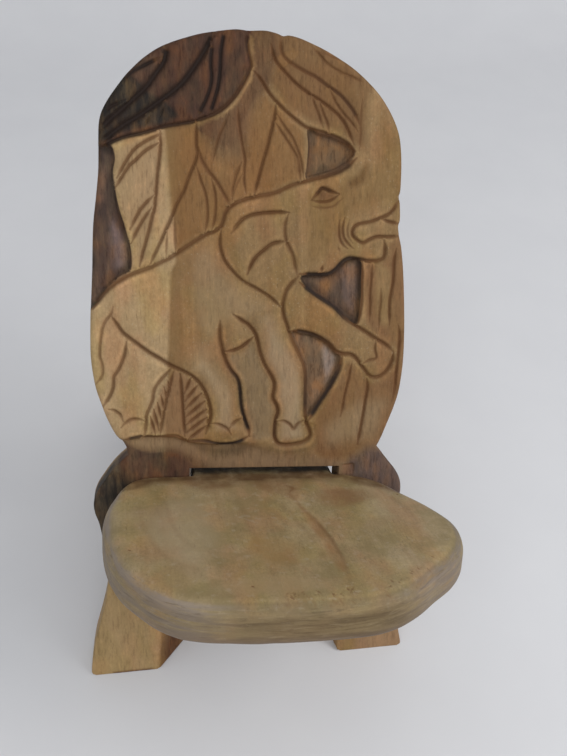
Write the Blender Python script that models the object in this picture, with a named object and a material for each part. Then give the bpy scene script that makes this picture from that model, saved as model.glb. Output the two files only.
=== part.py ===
"""Toddler chair of two interlocking planks. A carved back plank leans back on two legs, and a seat plank
passes its tongue down through a slot in it to stand on the floor behind. Metres, +Z up, front faces -Y."""

import math

import bmesh
import bpy
from mathutils import Vector

for old in list(bpy.data.objects):
    bpy.data.objects.remove(old, do_unlink=True)

# Back plank. Heights are measured up its front face from the floor line.
BACK_LENGTH = 0.556
BACK_THICKNESS = 0.030
BACK_LEAN = math.radians(29.0)
PANEL_WIDTH = 0.270
PANEL_MIDDLE = 0.0082
PANEL_RAISE = 0.0035
NECK_HEIGHT = 0.2068
NECK_SKEW = 0.0027
NECK_CUT = 0.0252
SHOULDER_DROP = 0.041
SHOULDER_WIDTH = 0.2765
SHOULDER_MIDDLE = 0.005
WAIST_HEIGHT = 0.098
WAIST_WIDTH = 0.258
WAIST_MIDDLE = 0.0045
FOOT_SPREAD = 0.292
FOOT_WIDTH = 0.063
ARCH_HEIGHT = 0.080
ARCH_FLARE_LEFT = 0.030
ARCH_FLARE_RIGHT = 0.008
ARCH_FLARE_TOP = 0.010
ARCH_FULLNESS = 0.8
FOOT_TUCK = 0.0035
FOOT_CORNER = 0.004
EDGE_ROUND = 0.004

# Seat plank. Lengths are measured along its slope from the front of the back plank.
SEAT_RISE = math.radians(26.0)
SEAT_WIDTH = 0.283
SEAT_MIDDLE = 0.019
SEAT_DEPTH = 0.2205
SEAT_THICKNESS = 0.032
SEAT_TOP_ROUND = 0.009
SEAT_UNDER_ROUND = 0.014
SEAT_BACK_ROUND = 0.003
SEAT_BACK_STRIP = 0.008
SEAT_BACK_FADE = 0.032
SEAT_DISH = 0.003
TONGUE_WIDTH = 0.127
TONGUE_MIDDLE = 0.017
TONGUE_THICKNESS = 0.027
TONGUE_DROP = 0.0002
TONGUE_ROOT = 0.16
TONGUE_TAPER = 0.006
TONGUE_EDGE = 0.003
TONGUE_WORN_EDGE = 0.007
TAIL_SOLE = 0.026

# The slot in the back plank, as play round the tongue.
SLOT_BELOW_NECK = 0.0162
SLOT_TILT = math.radians(3.2)
SLOT_SIDE_PLAY = 0.0035
SLOT_TOP_PLAY = 0.0045
REST_GAP = 0.0003

# The carving. The drawing is squared up, and this is how many squares the panel holds.
SQUARES_ACROSS = 270.0
SQUARES_UP = 349.2
SQUARES_MIDDLE = 8.2
SQUARES_AT_NECK = 206.8
GROUND_DEPTH = 0.005
GROOVE_DEPTH = 0.0022
VEIN_DEPTH = 0.0015
CUT_END = 0.15

# How far the cutters stand out past what they cut, and the steps that curves are built in.
CUT_SPARE = 0.010
ARCH_SPARE = 0.012
SLOT_SPARE = 0.020
SOLE_SPARE = 0.030
LEDGE_SPARE_SIDE = 0.200
LEDGE_SPARE_BELOW = 0.050
OUTLINE_STEP = 0.011
GROUND_STEP = 0.012
SEAT_STEP = 0.012
CONTOUR_STEP = 0.009
VEIN_STEP = 0.014

SKEW = BACK_LEAN - SEAT_RISE
TONGUE_CLIMB = BACK_THICKNESS * math.tan(SKEW)
SLOT_TOP = NECK_HEIGHT - SLOT_BELOW_NECK
SEAT_LINE = SLOT_TOP - SLOT_TOP_PLAY - max(0.0, TONGUE_CLIMB)
SLOT_BOTTOM = SEAT_LINE - TONGUE_THICKNESS / math.cos(SKEW) + min(0.0, TONGUE_CLIMB) - REST_GAP - TONGUE_DROP


def on_panel(square):
    """A point of the drawing on the plank: across from the middle of the feet, and up from the floor."""
    across = PANEL_MIDDLE + (square[0] - SQUARES_MIDDLE) * PANEL_WIDTH / SQUARES_ACROSS
    up = NECK_HEIGHT + (square[1] - SQUARES_AT_NECK) * (BACK_LENGTH - NECK_HEIGHT) / SQUARES_UP
    return across, up


def smooth(points, step, closed=False):
    """A line through the points, rounded like a bent lath, in even steps."""
    count = len(points)
    parts = 24
    fine = []
    for i in range(count if closed else count - 1):
        if closed:
            ends = [Vector(points[(i + k) % count]) for k in (-1, 0, 1, 2)]
        else:
            ends = [Vector(points[min(max(i + k, 0), count - 1)]) for k in (-1, 0, 1, 2)]
        a, b, c, d = ends
        for n in range(parts):
            t = n / parts
            curve = 2 * b + (c - a) * t + (2 * a - 5 * b + 4 * c - d) * t * t
            fine.append((curve + (3 * b - a - 3 * c + d) * t * t * t) / 2)
    fine.append(Vector(points[0] if closed else points[-1]))
    lengths = [0.0]
    for i in range(1, len(fine)):
        lengths.append(lengths[-1] + (fine[i] - fine[i - 1]).length)
    pieces = max(2, round(lengths[-1] / step))
    even = []
    at = 0
    for n in range(pieces if closed else pieces + 1):
        want = lengths[-1] * n / pieces
        while at < len(fine) - 2 and lengths[at + 1] < want:
            at += 1
        span = max(lengths[at + 1] - lengths[at], 1e-9)
        even.append(fine[at].lerp(fine[at + 1], min(1.0, (want - lengths[at]) / span)))
    return even


def solid(name, rings):
    """A closed mesh skinned over rings of equal count, with flat ends."""
    form = bmesh.new()
    made = [[form.verts.new(place) for place in ring] for ring in rings]
    count = len(made[0])
    for low, high in zip(made, made[1:]):
        for i in range(count):
            k = (i + 1) % count
            form.faces.new((low[i], low[k], high[k], high[i]))
    form.faces.new(made[0][::-1])
    form.faces.new(made[-1])
    bmesh.ops.recalc_face_normals(form, faces=form.faces)
    return finish(name, form)


def finish(name, form):
    """The form as an object in the scene."""
    mesh = bpy.data.meshes.new(name)
    form.to_mesh(mesh)
    form.free()
    obj = bpy.data.objects.new(name, mesh)
    bpy.context.scene.collection.objects.link(obj)
    return obj


def cut(target, cutter, overlapping=False):
    """Takes the cutter out of the target. The cutter rides with the target and is not built."""
    cutter.parent = target
    cutter.hide_render = True
    cutter.display_type = "WIRE"
    modifier = target.modifiers.new(cutter.name, "BOOLEAN")
    modifier.operation = "DIFFERENCE"
    modifier.solver = "EXACT"
    modifier.use_self = overlapping
    modifier.object = cutter


def paint(obj, name, colour, roughness):
    """One plain material for the whole piece."""
    material = bpy.data.materials.new(name)
    material.use_nodes = True
    shader = material.node_tree.nodes["Principled BSDF"]
    shader.inputs["Base Color"].default_value = (*colour, 1.0)
    shader.inputs["Roughness"].default_value = roughness
    obj.data.materials.append(material)


chair = bpy.data.objects.new("chair", None)
bpy.context.scene.collection.objects.link(chair)

# Back plank: the sawn outline. Up the left edge of the panel, over the crown and down the right edge, then
# each side from the neck notch over the shoulder and the waist to the foot.
PANEL_EDGE = [
    (-105, 222.5), (-111, 230), (-117, 243.5), (-122.5, 262), (-126, 284), (-126.8, 304), (-125.5, 325),
    (-122.5, 362), (-119.5, 400), (-115.5, 430), (-111.5, 455), (-109.5, 478), (-106, 494), (-98, 508),
    (-83, 525.5), (-62, 541.5), (-32, 551.5), (0, 556), (25, 555.5), (48, 551.5), (74, 541), (98, 526),
    (117, 506), (130, 484), (136.5, 462), (138, 440), (137, 415), (137, 392), (141, 362), (143.2, 318),
    (142.6, 282), (139, 252), (131, 229), (123, 209.5),
]
SHOULDER_CURVE = [(0.45, 0.68), (0.70, 0.44), (0.88, 0.24)]


def side_edge(side):
    """One side of the plank, from the neck notch down to below the floor. Side is -1 left and 1 right."""
    notch_up = NECK_HEIGHT - side * NECK_SKEW
    neck = PANEL_MIDDLE + side * (PANEL_WIDTH / 2 - NECK_CUT)
    shoulder = SHOULDER_MIDDLE + side * SHOULDER_WIDTH / 2
    waist = WAIST_MIDDLE + side * WAIST_WIDTH / 2
    foot = side * FOOT_SPREAD / 2
    shoulder_up = notch_up - SHOULDER_DROP
    edge = [(neck, notch_up)]
    for out, up in SHOULDER_CURVE:
        edge.append((neck + (shoulder - neck) * out, shoulder_up + SHOULDER_DROP * up))
    return edge + [
        (shoulder, shoulder_up),
        (shoulder + (waist - shoulder) * 0.5, shoulder_up + (WAIST_HEIGHT - shoulder_up) * 0.42),
        (waist, WAIST_HEIGHT),
        (waist + (foot - waist) * 0.34, WAIST_HEIGHT * 0.52),
        (foot - side * FOOT_TUCK, WAIST_HEIGHT * 0.2),
        (foot, FOOT_CORNER),
        (foot, -SOLE_SPARE),
    ]


left_side = smooth(side_edge(-1), OUTLINE_STEP)
right_side = smooth(side_edge(1), OUTLINE_STEP)
panel_side = smooth([left_side[0]] + [on_panel(p) for p in PANEL_EDGE] + [right_side[0]], OUTLINE_STEP)
outline = left_side[::-1][:-1] + panel_side[:-1] + right_side

plank = bmesh.new()
front = [plank.verts.new((p[0], -PANEL_RAISE, p[1])) for p in outline]
rear = [plank.verts.new((p[0], BACK_THICKNESS, p[1])) for p in outline]
count = len(outline)
plank.faces.new(front)
plank.faces.new(rear[::-1])
for i in range(count):
    k = (i + 1) % count
    plank.faces.new((front[i], front[k], rear[k], rear[i]))
bmesh.ops.recalc_face_normals(plank, faces=plank.faces)
plank.edges.ensure_lookup_table()
rims = [e for e in plank.edges if abs(e.verts[0].co.y - e.verts[1].co.y) < 1e-6]
bmesh.ops.bevel(
    plank, geom=rims, offset=EDGE_ROUND, segments=2, profile=0.5, affect="EDGES", clamp_overlap=True)
floor_up = Vector((0.0, -math.sin(BACK_LEAN), math.cos(BACK_LEAN)))
halves = plank.verts[:] + plank.edges[:] + plank.faces[:]
bmesh.ops.bisect_plane(plank, geom=halves, dist=1e-6, plane_co=(0, 0, 0), plane_no=floor_up, clear_inner=True)
bmesh.ops.holes_fill(plank, edges=[e for e in plank.edges if e.is_boundary], sides=0)
bmesh.ops.recalc_face_normals(plank, faces=plank.faces)
back_plank = finish("back_plank", plank)
back_plank.rotation_euler.x = -BACK_LEAN
back_plank.parent = chair
paint(back_plank, "carved_heartwood", (0.30, 0.19, 0.09), 0.6)

# The lower part is cut back behind the carved panel, along the ground that the elephant stands on.
GROUND_LINE = [
    (-150, 226), (-111, 226), (-100, 225.5), (-84, 227.5), (-60, 225.5), (-48, 220), (-25, 216.5), (-5, 217),
    (6, 217), (20, 212), (40, 208), (60, 209), (85, 207), (118, 204), (160, 203),
]
ground = smooth([on_panel(p) for p in GROUND_LINE], GROUND_STEP)
ledge_side = LEDGE_SPARE_SIDE + FOOT_SPREAD
ledge = ground + [Vector((ledge_side, -LEDGE_SPARE_BELOW)), Vector((-ledge_side, -LEDGE_SPARE_BELOW))]
depths = (-PANEL_RAISE - CUT_SPARE, 0.0)
cut(back_plank, solid("ledge_cutter", [[(p[0], y, p[1]) for p in ledge] for y in depths]))

# The arch between the legs flares open to the front.
arch_left = -FOOT_SPREAD / 2 + FOOT_WIDTH
arch_right = FOOT_SPREAD / 2 - FOOT_WIDTH


def arch_ring(y):
    """The arch where it crosses this depth of the plank, narrower to the rear."""
    share = y / BACK_THICKNESS
    left = arch_left + ARCH_FLARE_LEFT * share
    right = arch_right - ARCH_FLARE_RIGHT * share
    top = ARCH_HEIGHT - ARCH_FLARE_TOP * share
    steps = 16
    ring = [(left, y, -SOLE_SPARE)]
    for n in range(steps + 1):
        turn = math.pi * n / steps
        across = (left + right) / 2 - (right - left) / 2 * math.cos(turn)
        ring.append((across, y, top * math.sin(turn) ** ARCH_FULLNESS))
    return ring + [(right, y, -SOLE_SPARE)]


cut(back_plank, solid("arch_cutter", [arch_ring(-ARCH_SPARE), arch_ring(BACK_THICKNESS + ARCH_SPARE)]))

# The slot is the tongue's own section plus its play. It was cut a little out of level, falling to the right.
slot_half = TONGUE_WIDTH / 2 + SLOT_SIDE_PLAY
slot_middle = (SLOT_TOP + SLOT_BOTTOM) / 2
slot_height = SLOT_TOP - SLOT_BOTTOM


def slot_ring(y):
    """The slot's four corners at this depth of the plank."""
    ring = []
    for across, up in ((-1, -1), (1, -1), (1, 1), (-1, 1)):
        x = across * slot_half
        z = up * slot_height / 2
        turned_x = x * math.cos(SLOT_TILT) + z * math.sin(SLOT_TILT)
        turned_z = z * math.cos(SLOT_TILT) - x * math.sin(SLOT_TILT)
        ring.append((TONGUE_MIDDLE + turned_x, y, slot_middle + turned_z))
    return ring


slot_rings = [slot_ring(-PANEL_RAISE - SLOT_SPARE), slot_ring(BACK_THICKNESS + SLOT_SPARE)]
cut(back_plank, solid("slot_cutter", slot_rings))

# The sunk grounds of the relief: left of the leaves, above the head, under the jaw and between the forelegs.
SUNK_GROUNDS = [
    [
        (-140, 470), (-109, 467), (-99, 471), (-100.5, 460), (-102.5, 448), (-100.5, 434), (-98, 420),
        (-94, 408), (-90, 396), (-88, 388), (-88, 375), (-91, 368), (-101, 363), (-109, 356), (-117, 347),
        (-123, 339), (-140, 330),
    ],
    [
        (58, 480), (68, 477.5), (78, 474.5), (88, 470.5), (95, 465), (98, 461), (93, 452), (85, 447.5),
        (73, 443), (61, 440.5), (55.5, 441), (56.5, 450), (58, 465),
    ],
    [
        (51, 360.5), (65, 361.5), (75, 361.5), (81, 365), (87, 371), (93, 374), (103.5, 372), (104.5, 355),
        (104, 335), (100, 315.5), (90, 322.5), (80, 332), (72, 338), (60, 346.5),
    ],
    [
        (41.5, 312.5), (50, 312), (60, 309.5), (68, 305.5), (76, 299.5), (81, 293.5), (86, 289), (84, 277),
        (79, 267), (73, 257), (66, 247), (59, 237), (55, 232), (54.5, 245), (54.8, 260), (54.8, 275),
        (53, 283), (48, 295),
    ],
]
for n, corners in enumerate(SUNK_GROUNDS):
    floor = [on_panel(p) for p in corners]
    depths = (-PANEL_RAISE - CUT_SPARE, GROUND_DEPTH - PANEL_RAISE)
    cut(back_plank, solid("ground_cutter_%d" % (n + 1), [[(x, y, z) for x, z in floor] for y in depths]))

# The chisel lines of the relief, each a V cut that runs out to a point at both ends.
CONTOURS = [
    # The elephant's back, neck and head.
    [
        (-123, 340), (-109, 355.5), (-90, 367), (-65, 375.5), (-50, 384), (-30, 396), (-15, 403), (-11, 414),
        (0, 423), (15, 427), (37, 432), (61, 440), (85, 447), (99, 457),
    ],
    # The ear, outside and inside.
    [(-15, 401), (-16, 390), (-12, 374), (2, 358), (25, 343), (34, 332)],
    [(-7, 398), (2, 407), (15, 413), (30, 414), (41.5, 412), (38, 400), (42, 384), (46.5, 368), (48, 362)],
    [(6, 363), (13, 377), (27, 388), (38, 390)],
    # The eye, upper and lower lid.
    [(60, 423.5), (70, 432.5), (84.5, 427.5)],
    [(62, 421.5), (72, 421), (83, 426)],
    # The tusk and mouth, then the jaw.
    [(136, 421), (127, 410), (111, 404), (99, 401), (96, 394), (104, 386.5), (115, 391), (140, 391.5)],
    [(124, 388), (123.5, 376), (119, 371), (103, 372), (92, 374), (82, 366), (74, 361.5), (51, 361)],
    # The raised foreleg, from the chest round the foot and back.
    [
        (50, 355), (72, 338), (90, 322), (110, 308), (133, 291), (128, 276), (116, 269), (107, 276),
        (98, 287.5),
    ],
    [(98, 287.5), (87, 290.5), (76, 300), (60, 310), (41.5, 313)],
    # The near foreleg, down its back, round the foot and up its front to the chest.
    [
        (-6, 329), (8, 318), (14, 300), (22, 279), (27, 266), (26, 255), (30, 243), (27, 228), (27, 215),
        (40, 211), (56, 214.5), (56, 227), (54, 245), (54.5, 270), (43, 306), (36, 328), (38, 346), (48, 358),
    ],
    # The near hind leg, its front edge and its back edge up to the rump.
    [(-18.5, 323), (-18, 305), (-10, 281), (-3, 265), (-1.5, 245), (4, 222)],
    [(-33, 226), (-29, 243), (-38, 272), (-61, 288), (-90, 310), (-108, 333)],
    # The far hind leg and the tail.
    [(-97, 311), (-105, 287), (-113, 265), (-120, 255.5)],
    [(-61, 286), (-76, 268), (-84, 245), (-88, 227)],
    [(-106, 338), (-116, 322), (-119, 300), (-119, 283), (-124, 275)],
    # The boughs: lower edge of the dark leaf, its ribs, and the big leaf at the right.
    [
        (-109, 467), (-93, 474.5), (-61, 482), (-30, 488), (-10, 495), (5, 511), (13, 525), (11, 540),
        (10, 553),
    ],
    [(-106, 469), (-87, 485), (-57, 506), (-34, 525), (-16, 551)],
    [(-104, 486), (-87, 501), (-67, 519), (-55, 540)],
    [(-30, 489), (-19, 515), (-12, 552)],
    [(15, 525), (27, 508), (45, 490), (61, 480), (85, 472), (97, 462)],
    [(38, 537), (55, 525), (75, 513), (91, 500), (101, 484)],
    [(29, 541), (39, 525), (57, 509), (77, 496), (91, 480), (96, 468)],
    # The hanging leaves behind the back.
    [(-99, 471), (-102.5, 448), (-98, 420), (-88, 388), (-89, 371)],
    [(-61, 480), (-65, 445), (-71, 412), (-82.5, 374)],
    [(-32, 486), (-32, 460), (-44, 433), (-59, 404), (-74, 375)],
    [(-31, 463), (-23, 447), (-7, 422)],
    [(32, 498), (25, 467), (13, 428)],
    [(33, 491), (45, 474), (54, 442)],
]
VEINS = [
    [(-61, 477), (-82, 466), (-97, 444)],
    [(-69, 429.5), (-81, 417), (-88, 403)],
    [(-33, 450), (-26, 425), (-28, 401)],
    [(1.5, 497), (5.5, 462), (6, 431)],
    [(61, 544), (75, 530), (108, 514)],
    [(-60, 285), (-66, 260), (-74, 229)],
    [(-53, 281), (-54, 255), (-53, 228)],
    [(133.5, 380), (132, 355), (129, 317)],
    [(137, 313), (137.5, 289), (134, 249)],
    [(95, 281), (90, 257), (86, 236)],
    [(109, 267), (108, 248), (102, 209)],
]


def chisel_lines(name, lines, depth, step):
    """V cuts along the lines on the face of the panel, all in one cutter."""
    form = bmesh.new()
    for points in lines:
        path = smooth([on_panel(p) for p in points], step)
        rings = []
        for i, here in enumerate(path):
            ahead = path[min(i + 1, len(path) - 1)] - path[max(i - 1, 0)]
            across = Vector((-ahead.y, ahead.x)).normalized()
            size = depth if 0 < i < len(path) - 1 else depth * CUT_END
            ring = [here + across * size, here, here - across * size, here]
            deep = (-PANEL_RAISE, -PANEL_RAISE + size, -PANEL_RAISE, -PANEL_RAISE - size)
            rings.append([form.verts.new((p.x, y, p.y)) for p, y in zip(ring, deep)])
        for low, high in zip(rings, rings[1:]):
            for i in range(4):
                k = (i + 1) % 4
                form.faces.new((low[i], low[k], high[k], high[i]))
        form.faces.new(rings[0][::-1])
        form.faces.new(rings[-1])
    bmesh.ops.recalc_face_normals(form, faces=form.faces)
    return finish(name, form)


cut(back_plank, chisel_lines("contour_cutter", CONTOURS, GROOVE_DEPTH, CONTOUR_STEP), overlapping=True)
cut(back_plank, chisel_lines("vein_cutter", VEINS, VEIN_DEPTH, VEIN_STEP), overlapping=True)

# Seat plank: the pad, skinned over rings from the underside round the edge to the dished top. Its back edge
# is left nearly square, to bear on the back plank.
SEAT_EDGE = [
    (-84, 2), (-97, 6.5), (-107, 15.5), (-114.5, 28), (-119.5, 48), (-122, 76), (-121, 104), (-117.5, 130),
    (-112, 150), (-105.5, 166), (-96, 181.5), (-85, 196.5), (-72, 207.5), (-57, 214.5), (-37, 218.5),
    (-6, 220.5), (28, 220.5), (60, 218), (83, 210.5), (102, 197), (119.5, 179), (139, 161), (153, 139.5),
    (160, 117), (160.5, 98), (154, 77), (144.5, 57), (133.5, 38.5), (123, 25), (107, 12), (88, 4.5), (60, 2),
    (-12, 2),
]
SEAT_SQUARES_ACROSS = 283.0
SEAT_SQUARES_DEEP = 218.5
SEAT_SQUARES_BACK = 2.0
SEAT_SQUARES_MIDDLE = 19.0
SEAT_SQUARES_DISH = 112.0
DISH_RINGS = [(0.80, 0.0), (0.60, 0.30), (0.40, 0.72), (0.20, 0.95)]
EDGE_TURNS = [0, 28, 56, 84]
shoulder_twist = abs(math.sin(SLOT_TILT) * math.sin(SKEW)) * SEAT_WIDTH / 2
shoulder_gap = max(0.0, SEAT_THICKNESS * math.tan(SKEW)) + shoulder_twist + REST_GAP


def on_seat(square):
    """A point of the seat's drawing on its top: across from the tongue, and back along the slope."""
    across = SEAT_MIDDLE + (square[0] - SEAT_SQUARES_MIDDLE) * SEAT_WIDTH / SEAT_SQUARES_ACROSS
    deep = (square[1] - SEAT_SQUARES_BACK) / SEAT_SQUARES_DEEP
    return across - TONGUE_MIDDLE, -shoulder_gap - deep * (SEAT_DEPTH - shoulder_gap)


seat_edge = smooth([on_seat(p) for p in SEAT_EDGE], SEAT_STEP, closed=True)
seat_middle = Vector(on_seat((SEAT_SQUARES_MIDDLE, SEAT_SQUARES_DISH)))
seat_backs = []
for here in seat_edge:
    away = min(1.0, max(0.0, (-here.y - SEAT_BACK_STRIP) / SEAT_BACK_FADE))
    seat_backs.append(away * away * (3 - 2 * away))


def seat_ring(turn, under):
    """The edge of the pad at this turn of its rounding, 0 at the side and 90 degrees on the flat."""
    full = SEAT_UNDER_ROUND if under else SEAT_TOP_ROUND
    ring = []
    for i, here in enumerate(seat_edge):
        radius = SEAT_BACK_ROUND + (full - SEAT_BACK_ROUND) * seat_backs[i]
        along = seat_edge[(i + 1) % len(seat_edge)] - seat_edge[i - 1]
        inward = Vector((-along.y, along.x)).normalized()
        if inward.dot(seat_middle - here) < 0:
            inward.negate()
        place = here + inward * radius * (1 - math.cos(math.radians(turn)))
        sunk = radius * (1 - math.sin(math.radians(turn)))
        ring.append((place.x, place.y, sunk - SEAT_THICKNESS if under else -sunk))
    return ring


seat_rings = [seat_ring(turn, True) for turn in EDGE_TURNS[::-1]]
seat_rings += [seat_ring(turn, False) for turn in EDGE_TURNS]
rim = [Vector(p).to_2d() for p in seat_rings[-1]]
for share, drop in DISH_RINGS:
    ring = [seat_middle.lerp(p, share) for p in rim]
    seat_rings.append([(p.x, p.y, -SEAT_DISH * drop) for p in ring])
seat_plank = solid("seat_plank", seat_rings)
paint(seat_plank, "seat_wood", (0.26, 0.18, 0.09), 0.55)
seat_plank.location = (TONGUE_MIDDLE, SEAT_LINE * math.sin(BACK_LEAN), SEAT_LINE * math.cos(BACK_LEAN))
seat_plank.rotation_mode = "YXZ"
seat_plank.rotation_euler = (-SEAT_RISE, SLOT_TILT, 0.0)
seat_plank.parent = chair
bpy.context.view_layer.update()

# The tongue runs back from inside the pad through the slot to the floor. Past the slot it tapers, so that it
# enters easily. One upper edge is worn away. The tail is sawn square and flattened where it stands.
tongue_top = -TONGUE_DROP
tongue_start = -SEAT_DEPTH * TONGUE_ROOT
sole_start = (seat_plank.location.z - TONGUE_THICKNESS * math.cos(SEAT_RISE)) / math.sin(SEAT_RISE)
tail_end = sole_start + TAIL_SOLE * math.cos(SEAT_RISE)


def tongue_ring(y, wide):
    """The tongue's section, a board with its edges taken off."""
    low = -TONGUE_THICKNESS
    return [
        (-wide + TONGUE_EDGE, y, low), (wide - TONGUE_EDGE, y, low), (wide, y, low + TONGUE_EDGE),
        (wide, y, tongue_top - TONGUE_WORN_EDGE), (wide - TONGUE_WORN_EDGE, y, tongue_top),
        (-wide + TONGUE_EDGE, y, tongue_top), (-wide, y, tongue_top - TONGUE_EDGE),
        (-wide, y, low + TONGUE_EDGE),
    ]


half_wide = TONGUE_WIDTH / 2
tongue_stops = ((tongue_start, half_wide), (BACK_THICKNESS, half_wide), (tail_end, half_wide - TONGUE_TAPER))
tongue = solid("tongue", [tongue_ring(y, wide) for y, wide in tongue_stops])
to_seat = seat_plank.matrix_world.inverted()
floor_up = (to_seat.to_3x3() @ Vector((0, 0, 1))).normalized()
bar = bmesh.new()
bar.from_mesh(tongue.data)
halves = bar.verts[:] + bar.edges[:] + bar.faces[:]
floor_at = to_seat @ Vector((0, 0, 0))
bmesh.ops.bisect_plane(bar, geom=halves, dist=1e-6, plane_co=floor_at, plane_no=floor_up, clear_inner=True)
bmesh.ops.holes_fill(bar, edges=[e for e in bar.edges if e.is_boundary], sides=0)
bmesh.ops.recalc_face_normals(bar, faces=bar.faces)
bar.to_mesh(tongue.data)
bar.free()
tongue.parent = seat_plank
tongue.hide_render = True
tongue.display_type = "WIRE"
joined = seat_plank.modifiers.new("tongue", "BOOLEAN")
joined.operation = "UNION"
joined.solver = "EXACT"
joined.object = tongue

# The origin goes on the floor under the middle of the whole chair.
bpy.context.view_layer.update()
places = []
for piece in (back_plank, seat_plank):
    shape = piece.evaluated_get(bpy.context.evaluated_depsgraph_get())
    places += [shape.matrix_world @ v.co for v in shape.data.vertices]
middle_x = (min(p.x for p in places) + max(p.x for p in places)) / 2
middle_y = (min(p.y for p in places) + max(p.y for p in places)) / 2
chair.location = (-middle_x, -middle_y, 0.0)
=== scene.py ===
import math

import bmesh
import bpy
import numpy as np
from mathutils import Matrix, Vector
from mathutils.geometry import delaunay_2d_cdt


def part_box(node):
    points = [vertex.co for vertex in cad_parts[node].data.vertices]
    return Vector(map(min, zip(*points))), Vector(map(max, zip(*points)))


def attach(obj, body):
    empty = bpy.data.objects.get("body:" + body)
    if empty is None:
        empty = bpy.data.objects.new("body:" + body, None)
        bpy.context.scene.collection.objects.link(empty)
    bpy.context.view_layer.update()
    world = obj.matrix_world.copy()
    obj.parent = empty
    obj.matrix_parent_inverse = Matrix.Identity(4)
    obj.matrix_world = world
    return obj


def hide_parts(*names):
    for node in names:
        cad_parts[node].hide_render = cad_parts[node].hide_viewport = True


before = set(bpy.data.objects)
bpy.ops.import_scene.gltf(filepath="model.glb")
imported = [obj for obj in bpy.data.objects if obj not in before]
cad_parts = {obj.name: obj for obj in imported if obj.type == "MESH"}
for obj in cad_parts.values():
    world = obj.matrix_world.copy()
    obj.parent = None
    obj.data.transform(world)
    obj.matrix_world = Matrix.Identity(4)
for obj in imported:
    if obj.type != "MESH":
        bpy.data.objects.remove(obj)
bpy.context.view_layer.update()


# The view: a camera held by hand above and in front of the chair, a little to its left and not quite level.
# It looks down on the seat and the carved panel.
def stand(name, data):
    """A new object in the scene."""
    obj = bpy.data.objects.new(name, data)
    bpy.context.scene.collection.objects.link(obj)
    return obj


view = bpy.data.cameras.new("view_from_above")
view.lens = 42.857
camera = stand("view_from_above", view)
camera.location = (-0.0881, -0.5659, 0.7712)
camera.rotation_euler = (math.radians(46.89), math.radians(-3.66), math.radians(-8.33))
bpy.context.scene.camera = camera


# The studio: a pale grey floor that sweeps up behind the chair, lit softly from the right as by a window,
# with a weaker light in front and even light from all round.
FLOOR_HALF_WIDTH = 24.0
FLOOR_FRONT = -24.0
SWEEP_START = 1.1
SWEEP_RADIUS = 0.6
SWEEP_TOP = 2.4
SWEEP_STEPS = 12

profile = [(FLOOR_FRONT, 0.0), (SWEEP_START, 0.0)]
for n in range(1, SWEEP_STEPS + 1):
    turn = math.radians(90.0 * n / SWEEP_STEPS)
    profile.append((SWEEP_START + SWEEP_RADIUS * math.sin(turn), SWEEP_RADIUS * (1 - math.cos(turn))))
profile.append((SWEEP_START + SWEEP_RADIUS, SWEEP_TOP))
sweep = bpy.data.meshes.new("floor_sweep")
corners = [(side * FLOOR_HALF_WIDTH, y, z) for y, z in profile for side in (-1, 1)]
strips = [(2 * i, 2 * i + 1, 2 * i + 3, 2 * i + 2) for i in range(len(profile) - 1)]
sweep.from_pydata(corners, [], strips)
sweep.shade_smooth()
floor = stand("floor_sweep", sweep)


def tone(red, green, blue):
    """A colour read off a screen, 0 to 255, as the linear colour that shaders take."""
    shares = [part / 255.0 for part in (red, green, blue)]
    linear = [s / 12.92 if s <= 0.04045 else ((s + 0.055) / 1.055) ** 2.4 for s in shares]
    return (*linear, 1.0)


def feed(tree, node, inputs):
    """Sets a node's inputs, by name or number, to plain values or to the sockets that feed them."""
    for key, value in inputs.items():
        if isinstance(value, bpy.types.NodeSocket):
            tree.links.new(value, node.inputs[key])
        else:
            node.inputs[key].default_value = value


def add(tree, kind, inputs=None, **settings):
    """A new node with these settings and inputs."""
    node = tree.nodes.new(kind)
    for key, value in settings.items():
        setattr(node, key, value)
    feed(tree, node, inputs or {})
    return node


def calc(tree, operation, *values):
    """The result of one operation on plain values or sockets."""
    return add(tree, "ShaderNodeMath", dict(enumerate(values)), operation=operation).outputs[0]


def times(tree, product, *others):
    """The product of any number of values."""
    for other in others:
        product = calc(tree, "MULTIPLY", product, other)
    return product


def vector(tree, operation, first, second):
    """The result of one operation on two vectors."""
    return add(tree, "ShaderNodeVectorMath", {0: first, 1: second}, operation=operation).outputs[0]


def noise(tree, place, lumps, detail, roughness=0.5, distortion=0.0, part="Fac"):
    """Soft noise, with about so many lumps in a metre: one number, or one for each axis."""
    if isinstance(lumps, tuple):
        place, lumps = vector(tree, "MULTIPLY", place, lumps), 1.0
    return add(tree, "ShaderNodeTexNoise", {
        "Vector": place, "Scale": lumps, "Detail": detail, "Roughness": roughness, "Distortion": distortion,
    }).outputs[part]


def blend(tree, first, second, *shares, kind="MIX"):
    """The first colour with the second laid over it, by the product of the shares."""
    share = times(tree, *shares)
    node = add(tree, "ShaderNodeMix", {0: share, 6: first, 7: second}, data_type="RGBA", blend_type=kind)
    return node.outputs[2]


def new_finish(name):
    """A new material, with its tree of nodes and its shader."""
    finish = bpy.data.materials.new(name)
    finish.use_nodes = True
    return finish, finish.node_tree, finish.node_tree.nodes["Principled BSDF"]


paper, nodes, shader = new_finish("pale_floor")
scuffs = noise(nodes, add(nodes, "ShaderNodeTexCoord").outputs["Object"], 9.0, 5.0)
shade = blend(nodes, tone(210, 209, 211), tone(218, 217, 218), scuffs)
feed(nodes, shader, {"Base Color": shade, "Roughness": 0.7})
sweep.materials.append(paper)


def soft_light(name, place, aim, size, power):
    """A square soft box that looks at a point."""
    lamp = bpy.data.lights.new(name, "AREA")
    lamp.size = size
    lamp.energy = power
    box = stand(name, lamp)
    box.location = place
    box.rotation_euler = (Vector(aim) - Vector(place)).to_track_quat("-Z", "Y").to_euler()


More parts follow.
